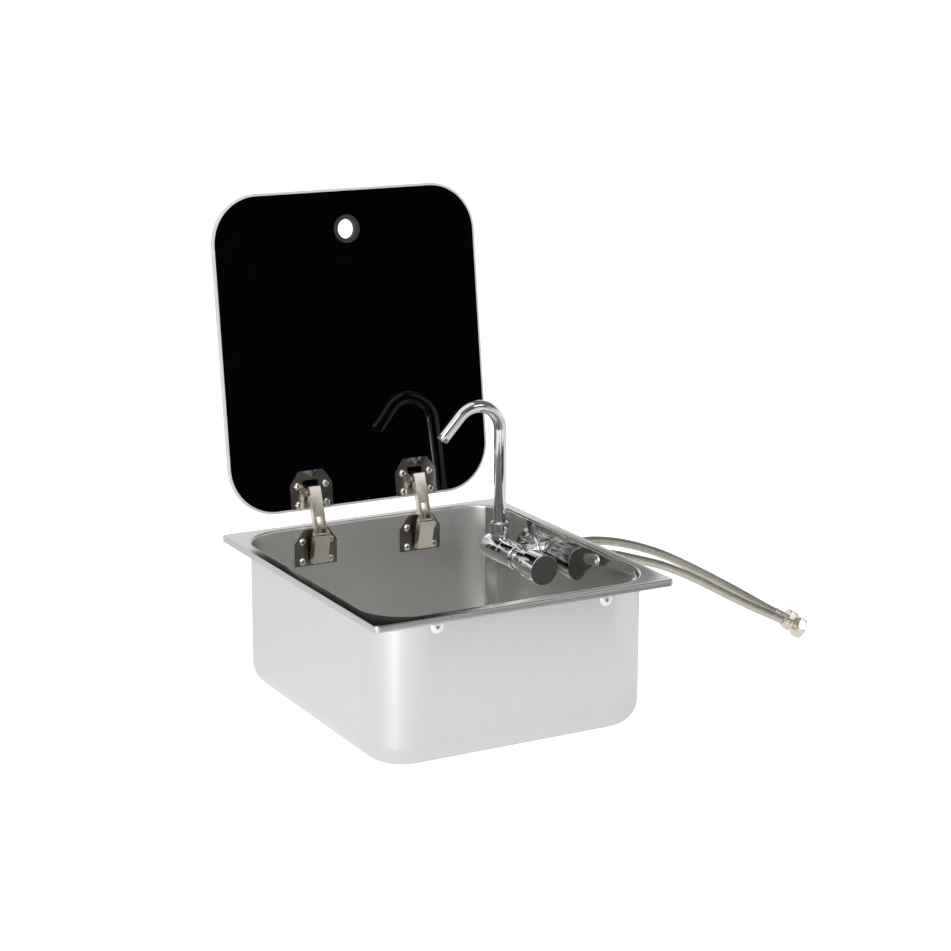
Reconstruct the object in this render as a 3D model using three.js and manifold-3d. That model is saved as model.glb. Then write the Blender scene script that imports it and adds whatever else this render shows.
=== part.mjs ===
// Caravan sink: a drawn steel bowl with a hinged glass lid, a fold-down tap and two braided hoses.
// Millimetres, +Z up. X runs along the front edge, Y towards the hinge side, Z = 0 is the bowl's base.
// Hinge outlines are drawn in the Y-Z plane with the lid open, and extruded along X.

import * as THREE from 'three';
import { mergeVertices } from 'three/addons/utils/BufferGeometryUtils.js';
import Module from 'manifold-3d';

const wasm = await Module();
wasm.setup();

// ---------- driving dimensions ----------

// Clearances
const SEAT_GAP = 0.1; // flat face resting on flat face
const TURNED_GAP = 0.3; // running fits, and pieces turned out of square
const PIN_CLEARANCE = 0.3; // a pin in the eye that turns on it
const PRESS_CLEARANCE = 0.1; // a pin in the eye that holds it

// Bowl, drawn from one sheet
const RIM_WIDTH = 320;
const RIM_DEPTH = 350;
const SINK_HEIGHT = 150;
const SHEET = 0.8;
const SIDE_FLANGE = 11.8; // flange width beyond the bowl's outer wall, left and right
const END_FLANGE = 12.1; // and at the front and rear
const BOWL_CORNER = 45;
const BASE_RADIUS = 24;
const RIM_BEND = 1.5;
const RIM_CORNER = 6;
const LIP_HEIGHT = 6.5;
const LIP_BEND = 0.8;

// Fixing holes, pressed outwards as countersinks
const FRONT_FIXING_DROP = 13.5;
const SIDE_FIXING_DROP = 10;
const FIXING_HOLE = 3.6;
const FIXING_DISH = 12;
const FIXING_DISH_DEPTH = 1.6;
const FRONT_FIXING_X = 90.4;
const SIDE_FIXING_Y = [-53, -123];

// Drain
const DRAIN_Y = 60;
const DRAIN_HOLE = 48;
const DRAIN_FLANGE = 62;
const DRAIN_GASKET = 0.9;
const DRAIN_PLATE = 1.6;
const DRAIN_SLOT = 9;
const DRAIN_SLOT_COUNT = 6;
const DRAIN_SLOT_CIRCLE = 28;

// Lid
const GLASS_SIDE_MARGIN = 10.75; // from the flange's outer edge to the glass, lid closed
const GLASS_END_MARGIN = 11.8;
const GLASS = 5;
const GLASS_CORNER = 51;
const LID_LEAN = 7.5;
const LID_OPEN_BACK = 8.6; // lower edge of the open lid behind the rear wall's inner face
const LID_OPEN_RISE = 14.8; // and above the rim
const FINGER_HOLE_FROM_EDGE = 41.4;
const FINGER_HOLE = 20.4;
const GROMMET_SLEEVE = 2.4;
const GROMMET_FLANGE = 29.2;
const GROMMET_FLANGE_THICKNESS = 1.5;

// Hinges: pivots in the Y-Z plane with the lid open, from the rear wall's inner face and the rim
const HINGE_X = 60.4;
const LOWER_PIVOT = [-6.9, -35.6];
const KNEE_PIVOT = [-13.1, -6.5];
const UPPER_PIVOT = [3, 35.2];
const LINK_OFFSET = 8; // from lower pivot and knee to the inner link's own pivots
const STAMPING = 1.2;
const PIN_RADIUS = 1.2;
const RIVET_RADIUS = 2.1;
const RIVET_HEAD = 0.8;
const PLATE_WIDTH = 47; // the same stamping serves on the wall and on the lid
const PLATE_HEIGHT = 38.6;
const PLATE_CHAMFER = [9.5, 13.2];
const PLATE_PRESSING = 0.6;
const LOWER_PLATE_DROP = 3;
const UPPER_PLATE_SETBACK = 2.4;
const UPPER_PLATE_SHIFT = 0.9; // the lid plates stand this much to the right of the arms
const SCREW_PITCH_X = 31.4;
const WALL_SCREW_PITCH_Z = 20.8;
const WALL_SCREW_EDGE = 5.2;
const LID_SCREW_PITCH_Z = 19.4;
const LID_SCREW_EDGE = 4;
const LOWER_ARM_HALF = 8.4;
const UPPER_ARM_HALF = 6.3;
const BRACKET_EAR_HALF = 6.8;
const LID_EAR_HALF = 8.1;
const INNER_LINK_HALF = 1.6;
const STRUT_HALF = 4.6;
const STRUT_WALL = 2;
const LOWER_FACE_AT_PIVOT = 4.6;
const LOWER_FACE_AT_KNEE = 5.5;
const UPPER_FACE = 4.2;
const UPPER_WINDOW = 18.5; // the upper arm's face is cut away this far from the knee
const SPRING_WIRE = 0.7;
const SPRING_RADIUS = 2.6;
const SPRING_TURNS = 2;
const SPRING_PITCH = 1.24;
const SPRING_LEG = 8;

// Screws
const SCREW_HEAD = 7;
const SCREW_HEAD_HEIGHT = 2.4;
const SCREW_SHANK = 3.6;
const SCREW_HOLE = 4.4;
const WALL_NUT = 7;
const WALL_NUT_HEIGHT = 2.6;
const SLEEVE_DISC = 9;
const SLEEVE_DISC_HEIGHT = 0.9;

// Tap, its axis parallel to Y
const TAP_FROM_WALL = 22.4;
const TAP_DROP = 35;
const TAP_BODY = 27;
const TAP_FRONT = 11.4;
const KNOB_LENGTH = 25.6;
const KNOB = 32;
const KNOB_CAP = 30.5;
const KNOB_CAP_THICKNESS = 1.4;
const KNOB_BORE = 6.8;
const SPINDLE = 6.6;
const SPINDLE_REACH = 12;
const NECK = 22.4;
const NECK_LENGTH = 26.4;
const FIXED_BODY_LENGTH = 25;
const SWIVEL_LENGTH = 32;
const END_CAP_LENGTH = 2.8;
const SPIGOT = 16;
const SPIGOT_LENGTH = 8;
const SHANK_BACK = 12; // from the fixed body's rear face to the shank's axis
const BOSS = 24;
const SHANK = 26;
const SHANK_BORE = 23.6;
const SHANK_BORE_DEPTH = 14;
const SHANK_REACH = 25;
const ESCUTCHEON = 40;
const ESCUTCHEON_THICKNESS = 3.2;
const WASHER = 42;
const WASHER_THICKNESS = 2;
const SHANK_NUT_FLATS = 36;
const SHANK_NUT_LENGTH = 9;
const SPOUT_FROM_SEAM = 16.4;
const SOCKET = 17;
const SOCKET_TOP = 15.8;
const COLLAR = 18.4;
const COLLAR_LENGTH = 14;
const PIPE = 13;
const PIPE_RISE = 115.7;
const PIPE_BEND = 27.8;
const PIPE_TURN = 137;
const PIPE_LEG = 30.4;
const AERATOR = 10.6;
const AERATOR_DEPTH = 8;

// Hoses
const HOSE = 9.6;
const HOSE_SPACING = 10.6;
const HOSE_STEP = 26;
const HOSE_SIDES = 12;
const FERRULE = 10.8;
const FERRULE_LENGTH = 15;
const HOSE_NUT_FLATS = 21;
const HOSE_NUT_LENGTH = 9.6;
const HOSE_NUT_BORE = 15;
const HOSE_NUT_LIP = 2.4;

// Free stretch of each hose after its straight start: [x from the side wall's inner face, y, z],
// chosen by hand; the last point is its cut end
const COLD_ROUTE = [
  [42.6, 70, 113], [62.1, 68.1, 109.9], [80.7, 65.3, 106], [99.2, 62.1, 101.9], [116.7, 58.7, 96.7],
  [132.4, 55, 92], [147.5, 51.3, 86.9], [171.9, 44.3, 75.9], [196, 36.2, 62.8], [219.4, 27.2, 49.1],
  [242.2, 17.1, 36.5], [259.3, 9.4, 27.8], [272.5, 4.2, 20.9],
];
const HOT_ROUTE = [
  [42.6, 82, 115], [58.2, 82.7, 116.4], [74.8, 82.6, 116.2], [93.4, 81.2, 113.9], [111.9, 78.6, 110],
  [133.3, 74.1, 103.5], [158.3, 68, 93.6], [183.5, 61.9, 80.5], [208.5, 54.8, 66.2],
  [232.8, 46.8, 51.7], [255.9, 37.2, 37], [267.3, 32.9, 29.6], [278.5, 28.6, 22.8],
];

// ---------- worked-out places ----------

const BOWL_HX = RIM_WIDTH / 2 - SIDE_FLANGE;
const BOWL_HY = RIM_DEPTH / 2 - END_FLANGE;
const RIM_Z = SINK_HEIGHT;
const WALL_X = BOWL_HX - SHEET; // inner face of the side walls
const WALL_Y = BOWL_HY - SHEET; // inner face of the front and rear walls
const LEAN = THREE.MathUtils.degToRad(LID_LEAN);
const GLASS_WIDTH = RIM_WIDTH - 2 * GLASS_SIDE_MARGIN;
const GLASS_HEIGHT = RIM_DEPTH - 2 * GLASS_END_MARGIN;
const LID_BASE = [WALL_Y + LID_OPEN_BACK, RIM_Z + LID_OPEN_RISE];
const TAP_X = WALL_X - TAP_FROM_WALL;
const TAP_Z = RIM_Z - TAP_DROP;
const fromRim = ([y, z]) => [WALL_Y + y, RIM_Z + z];
const PIVOT_LOWER = fromRim(LOWER_PIVOT);
const PIVOT_KNEE = fromRim(KNEE_PIVOT);
const PIVOT_UPPER = fromRim(UPPER_PIVOT);

// ---------- materials ----------

const paint = (color, roughness, metalness) => new THREE.MeshStandardMaterial({ color, roughness, metalness });
const STAINLESS = paint('#cfcfcd', 0.32, 1);
const NICKEL = paint('#c9c2b6', 0.25, 1);
const SPRING_STEEL = paint('#8d8c88', 0.35, 1);
const CHROME = paint('#e4e4e6', 0.06, 1);
const BRAID = paint('#a9a698', 0.42, 0.9);
const NUT_PLATE = paint('#cfc9bc', 0.22, 1);
const BLACK_GLASS = paint('#050506', 0.03, 0);
const RUBBER = paint('#26262a', 0.7, 0);
const BLACK_PLASTIC = paint('#3f3f3d', 0.5, 0);
const BRASS = paint('#b59a5a', 0.35, 1);

// ---------- solids ----------

// A three.js geometry as a solid: only position is kept, and shared corners are merged.
function solid(geometry) {
  const bare = geometry.index ? geometry.toNonIndexed() : geometry.clone();
  for (const name of Object.keys(bare.attributes)) {
    if (name !== 'position') bare.deleteAttribute(name);
  }
  const merged = mergeVertices(bare, 1e-4);
  const vertProperties = new Float32Array(merged.attributes.position.array);
  const triVerts = new Uint32Array(merged.index.array);
  return new wasm.Manifold(new wasm.Mesh({ numProp: 3, vertProperties, triVerts }));
}

function join(...geometries) {
  return geometries.map(solid).reduce((sum, next) => sum.add(next));
}

function cut(body, ...tools) {
  return tools.map(solid).reduce((left, tool) => left.subtract(tool), body);
}

// A solid back as a flat-shaded geometry.
function shell(body) {
  const { vertProperties, triVerts } = body.getMesh();
  const geometry = new THREE.BufferGeometry();
  geometry.setAttribute('position', new THREE.BufferAttribute(new Float32Array(vertProperties), 3));
  geometry.setIndex(new THREE.BufferAttribute(new Uint32Array(triVerts), 1));
  geometry.computeVertexNormals();
  return geometry;
}

const sink = new THREE.Group();
const lid = new THREE.Group();
lid.position.set(0, LID_BASE[0], LID_BASE[1]);
lid.rotation.x = -LEAN;
sink.add(lid);

function place(name, geometry, material, parent = sink) {
  const mesh = new THREE.Mesh(geometry, material);
  mesh.name = name;
  parent.add(mesh);
  return mesh;
}

function block(x0, x1, y0, y1, z0, z1) {
  const box = new THREE.BoxGeometry(x1 - x0, y1 - y0, z1 - z0);
  return box.translate((x0 + x1) / 2, (y0 + y1) / 2, (z0 + z1) / 2);
}

// Cylinders along each axis, from one end to the other.
function rodY(radius, x, z, y0, y1, sides = 24) {
  return new THREE.CylinderGeometry(radius, radius, y1 - y0, sides).translate(x, (y0 + y1) / 2, z);
}

function rodX(radius, y, z, x0, x1, sides = 24) {
  const rod = new THREE.CylinderGeometry(radius, radius, x1 - x0, sides).rotateZ(-Math.PI / 2);
  return rod.translate((x0 + x1) / 2, y, z);
}

function rodZ(radius, x, y, z0, z1, sides = 24) {
  const rod = new THREE.CylinderGeometry(radius, radius, z1 - z0, sides).rotateX(Math.PI / 2);
  return rod.translate(x, y, (z0 + z1) / 2);
}

// A turned piece about the Y axis: profile pairs are [radius, distance along the axis].
function turned(profile, sides = 24) {
  return new THREE.LatheGeometry(profile.map(([r, d]) => new THREE.Vector2(r, d)), sides);
}

// A ring-shaped turned piece closes on itself.
function turnedRing(profile, sides = 24) {
  return turned([...profile, profile[0]], sides);
}

// An outline in the Y-Z plane, extruded along X.
function slab(points, x0, x1, holes = []) {
  const shape = new THREE.Shape(points.map(([y, z]) => new THREE.Vector2(y, z)));
  for (const [y, z, radius] of holes) {
    const hole = new THREE.Path();
    hole.absarc(y, z, radius, 0, 2 * Math.PI);
    shape.holes.push(hole);
  }
  const depth = x1 - x0;
  const flat = new THREE.ExtrudeGeometry(shape, { depth, bevelEnabled: false, curveSegments: 6 });
  const toYZ = new THREE.Matrix4().set(0, 0, 1, x0, 1, 0, 0, 0, 0, 1, 0, 0, 0, 0, 0, 1);
  return flat.applyMatrix4(toYZ);
}

// ---------- bowl ----------

// Points of a rectangle with round corners, all loops with the same count so that they join up.
const CORNER_STEPS = 7;

function loop(hx, hy, radius, z) {
  const points = [];
  const corners = [[1, 1], [-1, 1], [-1, -1], [1, -1]];
  corners.forEach(([sx, sy], quarter) => {
    for (let step = 0; step <= CORNER_STEPS; step += 1) {
      const angle = (Math.PI / 2) * (quarter + step / CORNER_STEPS);
      const x = sx * (hx - radius) + radius * Math.cos(angle);
      const y = sy * (hy - radius) + radius * Math.sin(angle);
      points.push([x, y, z]);
    }
  });
  return points;
}

// A closed solid through a stack of loops, from the centre of the first to the centre of the last.
function loft(loops) {
  const count = loops[0].length;
  const positions = loops.flat(2);
  const index = [];
  for (let row = 0; row + 1 < loops.length; row += 1) {
    for (let i = 0; i < count; i += 1) {
      const a = row * count + i;
      const b = row * count + ((i + 1) % count);
      index.push(a, b + count, b, a, a + count, b + count);
    }
  }
  const first = positions.length / 3;
  positions.push(0, 0, loops[0][0][2], 0, 0, loops.at(-1)[0][2]);
  const lastRow = (loops.length - 1) * count;
  for (let i = 0; i < count; i += 1) {
    const next = (i + 1) % count;
    index.push(first, i, next, first + 1, lastRow + next, lastRow + i);
  }
  const geometry = new THREE.BufferGeometry();
  geometry.setAttribute('position', new THREE.Float32BufferAttribute(positions, 3));
  geometry.setIndex(index);
  return geometry;
}

// One quarter bend of a section: distances outwards from the wall line, and heights.
function bend(centreOut, centreZ, radius, fromAngle, toAngle, steps) {
  return Array.from({ length: steps + 1 }, (_, step) => {
    const angle = THREE.MathUtils.degToRad(fromAngle + ((toAngle - fromAngle) * step) / steps);
    return [centreOut + radius * Math.cos(angle), centreZ + radius * Math.sin(angle)];
  });
}

function bowlShell() {
  // Offsets are measured from the outer wall face; negative is towards the bowl's middle.
  const wallLoop = ([out, z]) => loop(BOWL_HX + out, BOWL_HY + out, BOWL_CORNER + out, z);
  const rimLoop = (inset, z) => loop(RIM_WIDTH / 2 - inset, RIM_DEPTH / 2 - inset, RIM_CORNER - inset, z);
  const inside = [
    ...bend(-BASE_RADIUS, BASE_RADIUS, BASE_RADIUS - SHEET, -90, 0, 5),
    ...bend(RIM_BEND, RIM_Z - SHEET - RIM_BEND, RIM_BEND + SHEET, 180, 90, 3),
  ].map(wallLoop);
  const lipOutside = bend(-LIP_BEND - SHEET, RIM_Z - LIP_BEND - SHEET, LIP_BEND + SHEET, 90, 0, 3);
  const lipInside = bend(-LIP_BEND - SHEET, RIM_Z - LIP_BEND - SHEET, LIP_BEND, 0, 90, 3);
  const lip = [
    ...lipOutside.map(([out, z]) => rimLoop(-out, z)),
    rimLoop(0, RIM_Z - LIP_HEIGHT),
    rimLoop(SHEET, RIM_Z - LIP_HEIGHT),
    ...lipInside.map(([out, z]) => rimLoop(-out, z)),
  ];
  const outside = [
    ...bend(RIM_BEND, RIM_Z - SHEET - RIM_BEND, RIM_BEND, 90, 180, 3),
    ...bend(-BASE_RADIUS, BASE_RADIUS, BASE_RADIUS, 0, -90, 5),
  ].map(wallLoop);
  return loft([...inside, ...lip, ...outside]);
}

// The pressed dish round a fixing hole, on an axis along +Y with the wall's inner face at 0.
function dishOutside() {
  const foot = FIXING_DISH / 2;
  const nose = FIXING_HOLE / 2 + 1.4;
  const end = SHEET + FIXING_DISH_DEPTH;
  return turned([[0, 0.1], [foot, 0.1], [foot, SHEET], [nose, end], [0, end]], 16);
}

function dishInside() {
  const foot = FIXING_DISH / 2 - 1;
  const hole = FIXING_HOLE / 2;
  const deep = SHEET + FIXING_DISH_DEPTH + 1;
  return turned([[0, -1], [foot, -1], [foot, 0], [hole, FIXING_DISH_DEPTH + 0.2],
    [hole, deep], [0, deep]], 16);
}

function fixingPlaces() {
  const front = [-1, 1].map((side) => {
    return { x: side * FRONT_FIXING_X, y: -WALL_Y, z: RIM_Z - FRONT_FIXING_DROP, turn: Math.PI };
  });
  const right = SIDE_FIXING_Y.map((y) => {
    return { x: WALL_X, y, z: RIM_Z - SIDE_FIXING_DROP, turn: -Math.PI / 2 };
  });
  return [...front, ...right];
}

const screwPlacesX = [-HINGE_X, HINGE_X].flatMap((x) => [x - SCREW_PITCH_X / 2, x + SCREW_PITCH_X / 2]);
const lowerPlateBottom = RIM_Z - LOWER_PLATE_DROP - PLATE_HEIGHT;
const wallScrewZ = [0, WALL_SCREW_PITCH_Z].map((z) => lowerPlateBottom + WALL_SCREW_EDGE + z);
const lidScrewZ = [0, LID_SCREW_PITCH_Z].map((z) => UPPER_PLATE_SETBACK + LID_SCREW_EDGE + z);

// Screw holes along Y through everything between two depths.
function screwHoles(xs, zs, y0, y1) {
  return xs.flatMap((x) => zs.map((z) => rodY(SCREW_HOLE / 2, x, z, y0, y1, 12)));
}

const bodyRear = TAP_FRONT + KNOB_LENGTH + NECK_LENGTH + FIXED_BODY_LENGTH;
const shankY = bodyRear - SHANK_BACK;

function sinkBowl() {
  const put = (geometry, at) => geometry.rotateZ(at.turn).translate(at.x, at.y, at.z);
  let bowl = solid(bowlShell());
  for (const at of fixingPlaces()) {
    bowl = bowl.add(solid(put(dishOutside(), at)));
    bowl = cut(bowl, put(dishInside(), at));
  }
  const holes = screwHoles(screwPlacesX, wallScrewZ, WALL_Y - 1, BOWL_HY + 1);
  const shankHole = rodX(SHANK / 2 + TURNED_GAP, shankY, TAP_Z, WALL_X - 1, BOWL_HX + 1);
  const drainHole = rodZ(DRAIN_HOLE / 2, 0, DRAIN_Y, -1, SHEET + 1);
  return shell(cut(bowl, ...holes, shankHole, drainHole));
}

place('sink_bowl', sinkBowl(), STAINLESS);

// ---------- drain ----------

function drainParts() {
  const gasketZ = SHEET + SEAT_GAP;
  const flangeZ = gasketZ + DRAIN_GASKET + SEAT_GAP;
  const flange = DRAIN_FLANGE / 2;
  const spigot = DRAIN_HOLE / 2 - TURNED_GAP;
  const upright = (geometry) => geometry.rotateX(Math.PI / 2).translate(0, DRAIN_Y, 0);
  const gasket = turnedRing([[spigot + 0.6, gasketZ], [flange, gasketZ],
    [flange, gasketZ + DRAIN_GASKET], [spigot + 0.6, gasketZ + DRAIN_GASKET]]);
  const plate = turned([[0, flangeZ - 1], [spigot - 2, flangeZ - 1], [spigot - 1.2, SEAT_GAP * 3],
    [spigot, SEAT_GAP * 3], [spigot, flangeZ], [flange, flangeZ], [flange, flangeZ + 0.6],
    [spigot, flangeZ + DRAIN_PLATE], [spigot - 3, flangeZ + 0.4], [0, flangeZ + 0.2]]);
  const slots = Array.from({ length: DRAIN_SLOT_COUNT }, (_, i) => {
    const angle = (2 * Math.PI * i) / DRAIN_SLOT_COUNT;
    const x = (DRAIN_SLOT_CIRCLE / 2) * Math.cos(angle);
    const y = (DRAIN_SLOT_CIRCLE / 2) * Math.sin(angle);
    return rodY(DRAIN_SLOT / 2, x, y, -1, flangeZ + DRAIN_PLATE, 10);
  });
  place('drain_gasket', upright(gasket), RUBBER);
  place('drain_flange', upright(shell(cut(solid(plate), ...slots))), STAINLESS);
}

drainParts();

// ---------- hinge ----------

const plus = ([y, z], [dy, dz], k = 1) => [y + dy * k, z + dz * k];
const minus = ([y, z], [y2, z2]) => [y - y2, z - z2];
const size = ([y, z]) => Math.hypot(y, z);
const unit = (v) => v.map((c) => c / size(v));
const heading = ([y, z]) => Math.atan2(z, y);

// Points of an arc in the Y-Z plane, from one direction to another, both in radians.
function arc(centre, radius, from, to, steps = 5) {
  return Array.from({ length: steps + 1 }, (_, i) => {
    const angle = from + ((to - from) * i) / steps;
    return plus(centre, [Math.cos(angle), Math.sin(angle)], radius);
  });
}

// A bar with round ends about two centres.
function capsule(a, b, radius) {
  const along = heading(minus(b, a));
  const quarter = Math.PI / 2;
  return [...arc(b, radius, along - quarter, along + quarter),
    ...arc(a, radius, along + quarter, along + 3 * quarter)];
}

const lowerAlong = unit(minus(PIVOT_KNEE, PIVOT_LOWER));
const lowerFront = [-lowerAlong[1], lowerAlong[0]];
const upperAlong = unit(minus(PIVOT_UPPER, PIVOT_KNEE));
const upperFront = [-upperAlong[1], upperAlong[0]];
const upperLength = size(minus(PIVOT_UPPER, PIVOT_KNEE));
const linkLower = plus(PIVOT_LOWER, upperAlong, LINK_OFFSET);
const linkUpper = plus(PIVOT_KNEE, upperAlong, LINK_OFFSET);
const eye = ([y, z], clearance) => [y, z, PIN_RADIUS + clearance];

// A pin along X with a rivet head at each end.
function rivet([y, z], half) {
  const shaft = rodX(PIN_RADIUS, y, z, -half - SEAT_GAP, half + SEAT_GAP, 12);
  const heads = [-1, 1].map((side) => {
    const from = side * (half + SEAT_GAP);
    const to = side * (half + SEAT_GAP + RIVET_HEAD);
    return rodX(RIVET_RADIUS, y, z, Math.min(from, to), Math.max(from, to), 12);
  });
  return shell(join(shaft, ...heads));
}

function pairOfWalls(outline, outerHalf, holes) {
  return [-1, 1].map((side) => {
    const [x0, x1] = side < 0 ? [-outerHalf, STAMPING - outerHalf] : [outerHalf - STAMPING, outerHalf];
    return slab(outline, x0, x1, holes);
  });
}

// The stamped plate, standing on a lower edge and against a plane of constant Y, with its pressed V.
function stampedPlate(bottom, back, shift) {
  const half = PLATE_WIDTH / 2;
  const top = bottom + PLATE_HEIGHT;
  const [dx, dz] = PLATE_CHAMFER;
  const side = [[half, bottom], [half, top - dz], [half - dx, top]];
  const outline = [...side, ...side.map(([x, z]) => [-x, z]).reverse()];
  const pressing = [[-4.6, top], [0, top - 8], [4.6, top]];
  return [[outline, STAMPING], [pressing, STAMPING + PLATE_PRESSING]].map(([points, depth]) => {
    const shape = new THREE.Shape(points.map(([x, z]) => new THREE.Vector2(x + shift, z)));
    const flat = new THREE.ExtrudeGeometry(shape, { depth, bevelEnabled: false });
    return flat.rotateX(Math.PI / 2).translate(0, back, 0);
  });
}

const plateScrewX = [-SCREW_PITCH_X / 2, SCREW_PITCH_X / 2];

// Wall bracket: a plate with two ears that carry the lower arm and the inner link.
function lowerPlate() {
  const back = WALL_Y - SEAT_GAP;
  const face = back - STAMPING;
  const earRadius = 3;
  const earFoot = THREE.MathUtils.degToRad(345); // the lower arm's foot sweeps all that lies below
  const ear = [[face + 0.4, PIVOT_LOWER[1] - 1.2], ...arc(PIVOT_LOWER, earRadius, earFoot, Math.PI, 7),
    ...arc(linkLower, earRadius - 0.6, Math.PI, Math.PI / 2), [face + 0.4, linkLower[1] + 4]];
  const eyes = [eye(PIVOT_LOWER, PRESS_CLEARANCE), eye(linkLower, PIN_CLEARANCE)];
  const ears = pairOfWalls(ear, BRACKET_EAR_HALF, eyes);
  const holes = screwHoles(plateScrewX, wallScrewZ, face - 1, back + 1);
  return shell(cut(join(...stampedPlate(lowerPlateBottom, back, 0), ...ears), ...holes));
}

// Lower arm: a channel whose face covers the bracket.
function lowerArm() {
  const foot = plus(plus(PIVOT_LOWER, lowerFront, LOWER_FACE_AT_PIVOT), lowerAlong, -0.9);
  const head = plus(plus(PIVOT_KNEE, lowerFront, LOWER_FACE_AT_KNEE), lowerAlong, 0.8);
  const along = heading(lowerAlong);
  const wall = [foot, ...arc(PIVOT_LOWER, 3.4, along - Math.PI, along - Math.PI / 2),
    ...arc(PIVOT_KNEE, 3.8, along - Math.PI / 2, along), head];
  const inward = (p) => plus(p, lowerFront, -STAMPING);
  const face = [foot, inward(foot), inward(head), head];
  const eyes = [eye(PIVOT_LOWER, PIN_CLEARANCE), eye(PIVOT_KNEE, PRESS_CLEARANCE)];
  return shell(join(slab(face, -LOWER_ARM_HALF, LOWER_ARM_HALF), ...pairOfWalls(wall, LOWER_ARM_HALF, eyes)));
}

// Upper arm: a narrower channel with its face cut away towards the knee, and a cross pin for the link.
function upperArm() {
  const along = heading(upperAlong);
  const at = (distance, front) => plus(plus(PIVOT_KNEE, upperAlong, distance), upperFront, front);
  const tip = upperLength + 5;
  const wall = [...arc(PIVOT_KNEE, 3.4, along + Math.PI / 2, along + 1.5 * Math.PI, 7),
    ...arc(PIVOT_UPPER, 4, along - Math.PI / 2, along), at(tip, 2), at(tip, UPPER_FACE),
    at(UPPER_WINDOW, UPPER_FACE), at(UPPER_WINDOW - 2, 3.4)];
  const face = [at(UPPER_WINDOW, UPPER_FACE), at(UPPER_WINDOW, UPPER_FACE - STAMPING),
    at(tip, UPPER_FACE - STAMPING), at(tip, UPPER_FACE)];
  const eyes = [eye(PIVOT_KNEE, PIN_CLEARANCE), eye(PIVOT_UPPER, PIN_CLEARANCE)];
  const crossPin = rodX(PIN_RADIUS, linkUpper[0], linkUpper[1], -UPPER_ARM_HALF, UPPER_ARM_HALF, 12);
  const web = slab(face, -UPPER_ARM_HALF, UPPER_ARM_HALF);
  return shell(join(web, ...pairOfWalls(wall, UPPER_ARM_HALF, eyes), crossPin));
}

// Inner link: keeps the upper arm upright while the lower arm swings; its lower pin is its own.
function innerLink() {
  const upperEye = [eye(linkUpper, 2 * TURNED_GAP)];
  const bar = slab(capsule(linkLower, linkUpper, 2.2), -INNER_LINK_HALF, INNER_LINK_HALF, upperEye);
  const pin = rodX(PIN_RADIUS, linkLower[0], linkLower[1], -BRACKET_EAR_HALF, BRACKET_EAR_HALF, 12);
  return shell(join(bar, pin));
}

// Spring strut: a forked strip inside the upper arm, from the cross pin to the lid pin.
function springStrut() {
  const holes = [eye(linkUpper, PRESS_CLEARANCE), eye(PIVOT_UPPER, PIN_CLEARANCE)];
  const cheeks = [-1, 1].map((side) => {
    const inner = side * (STRUT_HALF - STRUT_WALL);
    const outer = side * STRUT_HALF;
    const bar = capsule(linkUpper, PIVOT_UPPER, 2.4);
    return slab(bar, Math.min(inner, outer), Math.max(inner, outer), holes);
  });
  const webFrom = plus(PIVOT_KNEE, upperAlong, UPPER_WINDOW);
  const webTo = plus(PIVOT_UPPER, upperAlong, -5);
  const web = slab([plus(webFrom, upperFront, 2.2), plus(webFrom, upperFront, -1),
    plus(webTo, upperFront, -1), plus(webTo, upperFront, 2.2)], -STRUT_HALF, STRUT_HALF);
  return shell(join(...cheeks, web));
}

// The least clear gap between two stretches of a wire that lie half a turn or more apart along it.
function leastGap(path, radius, apart) {
  const samples = path.getSpacedPoints(300);
  const skip = Math.ceil((apart / path.getLength()) * 300);
  let least = Infinity;
  for (let i = 0; i + skip < samples.length; i += 1) {
    for (let j = i + skip; j < samples.length; j += 1) {
      least = Math.min(least, samples[i].distanceTo(samples[j]) - 2 * radius);
    }
  }
  return least;
}

// A wire along a list of points, with a five-sided section.
function wire(points, radius) {
  const path = new THREE.CatmullRomCurve3(points.map((p) => new THREE.Vector3(...p)), false, 'centripetal');
  const least = leastGap(path, radius, Math.PI * SPRING_RADIUS);
  console.log(`least gap of the spring to itself: ${least.toFixed(2)} mm`);
  const section = new THREE.Shape(Array.from({ length: 5 }, (_, i) => {
    const angle = (2 * Math.PI * i) / 5;
    return new THREE.Vector2(radius * Math.cos(angle), radius * Math.sin(angle));
  }));
  const steps = points.length + 4;
  return new THREE.ExtrudeGeometry(section, { steps, bevelEnabled: false, extrudePath: path });
}

// Torsion spring about the lower pin, one leg on the bracket and one behind the lower arm's face.
function hingeSpring() {
  const [y, z] = PIVOT_LOWER;
  const from = heading(lowerFront);
  const steps = 8 * SPRING_TURNS;
  const coil = Array.from({ length: steps + 1 }, (_, i) => {
    const angle = from - (2 * Math.PI * i) / 8;
    const x = STAMPING - BRACKET_EAR_HALF + SPRING_WIRE / 2 + TURNED_GAP + (SPRING_PITCH * i) / 8;
    return [x, y + SPRING_RADIUS * Math.cos(angle), z + SPRING_RADIUS * Math.sin(angle)];
  });
  const upLeg = plus([coil[0][1], coil[0][2]], lowerAlong, SPRING_LEG);
  const last = coil.at(-1);
  return wire([[coil[0][0], ...upLeg], ...coil, [last[0], last[1] + 0.4, last[2] + 5]], SPRING_WIRE / 2);
}

// Pan-head screw along +Y from the head's back face at 0, with what it is screwed into.
function screw(grip, nutProfile) {
  const head = SCREW_HEAD / 2;
  const shank = SCREW_SHANK / 2;
  const top = -SCREW_HEAD_HEIGHT;
  const profile = [[0, top], [head * 0.55, top], [head, top * 0.35], [head, 0], [shank, 0], [shank, grip],
    ...nutProfile(shank, grip)];
  return turned(profile, 10);
}

function wallScrew() {
  const grip = STAMPING + SHEET + 3 * SEAT_GAP;
  const r = WALL_NUT / 2;
  return screw(grip, (shank, end) => [[r, end], [r, end + WALL_NUT_HEIGHT], [0, end + WALL_NUT_HEIGHT]]);
}

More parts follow.
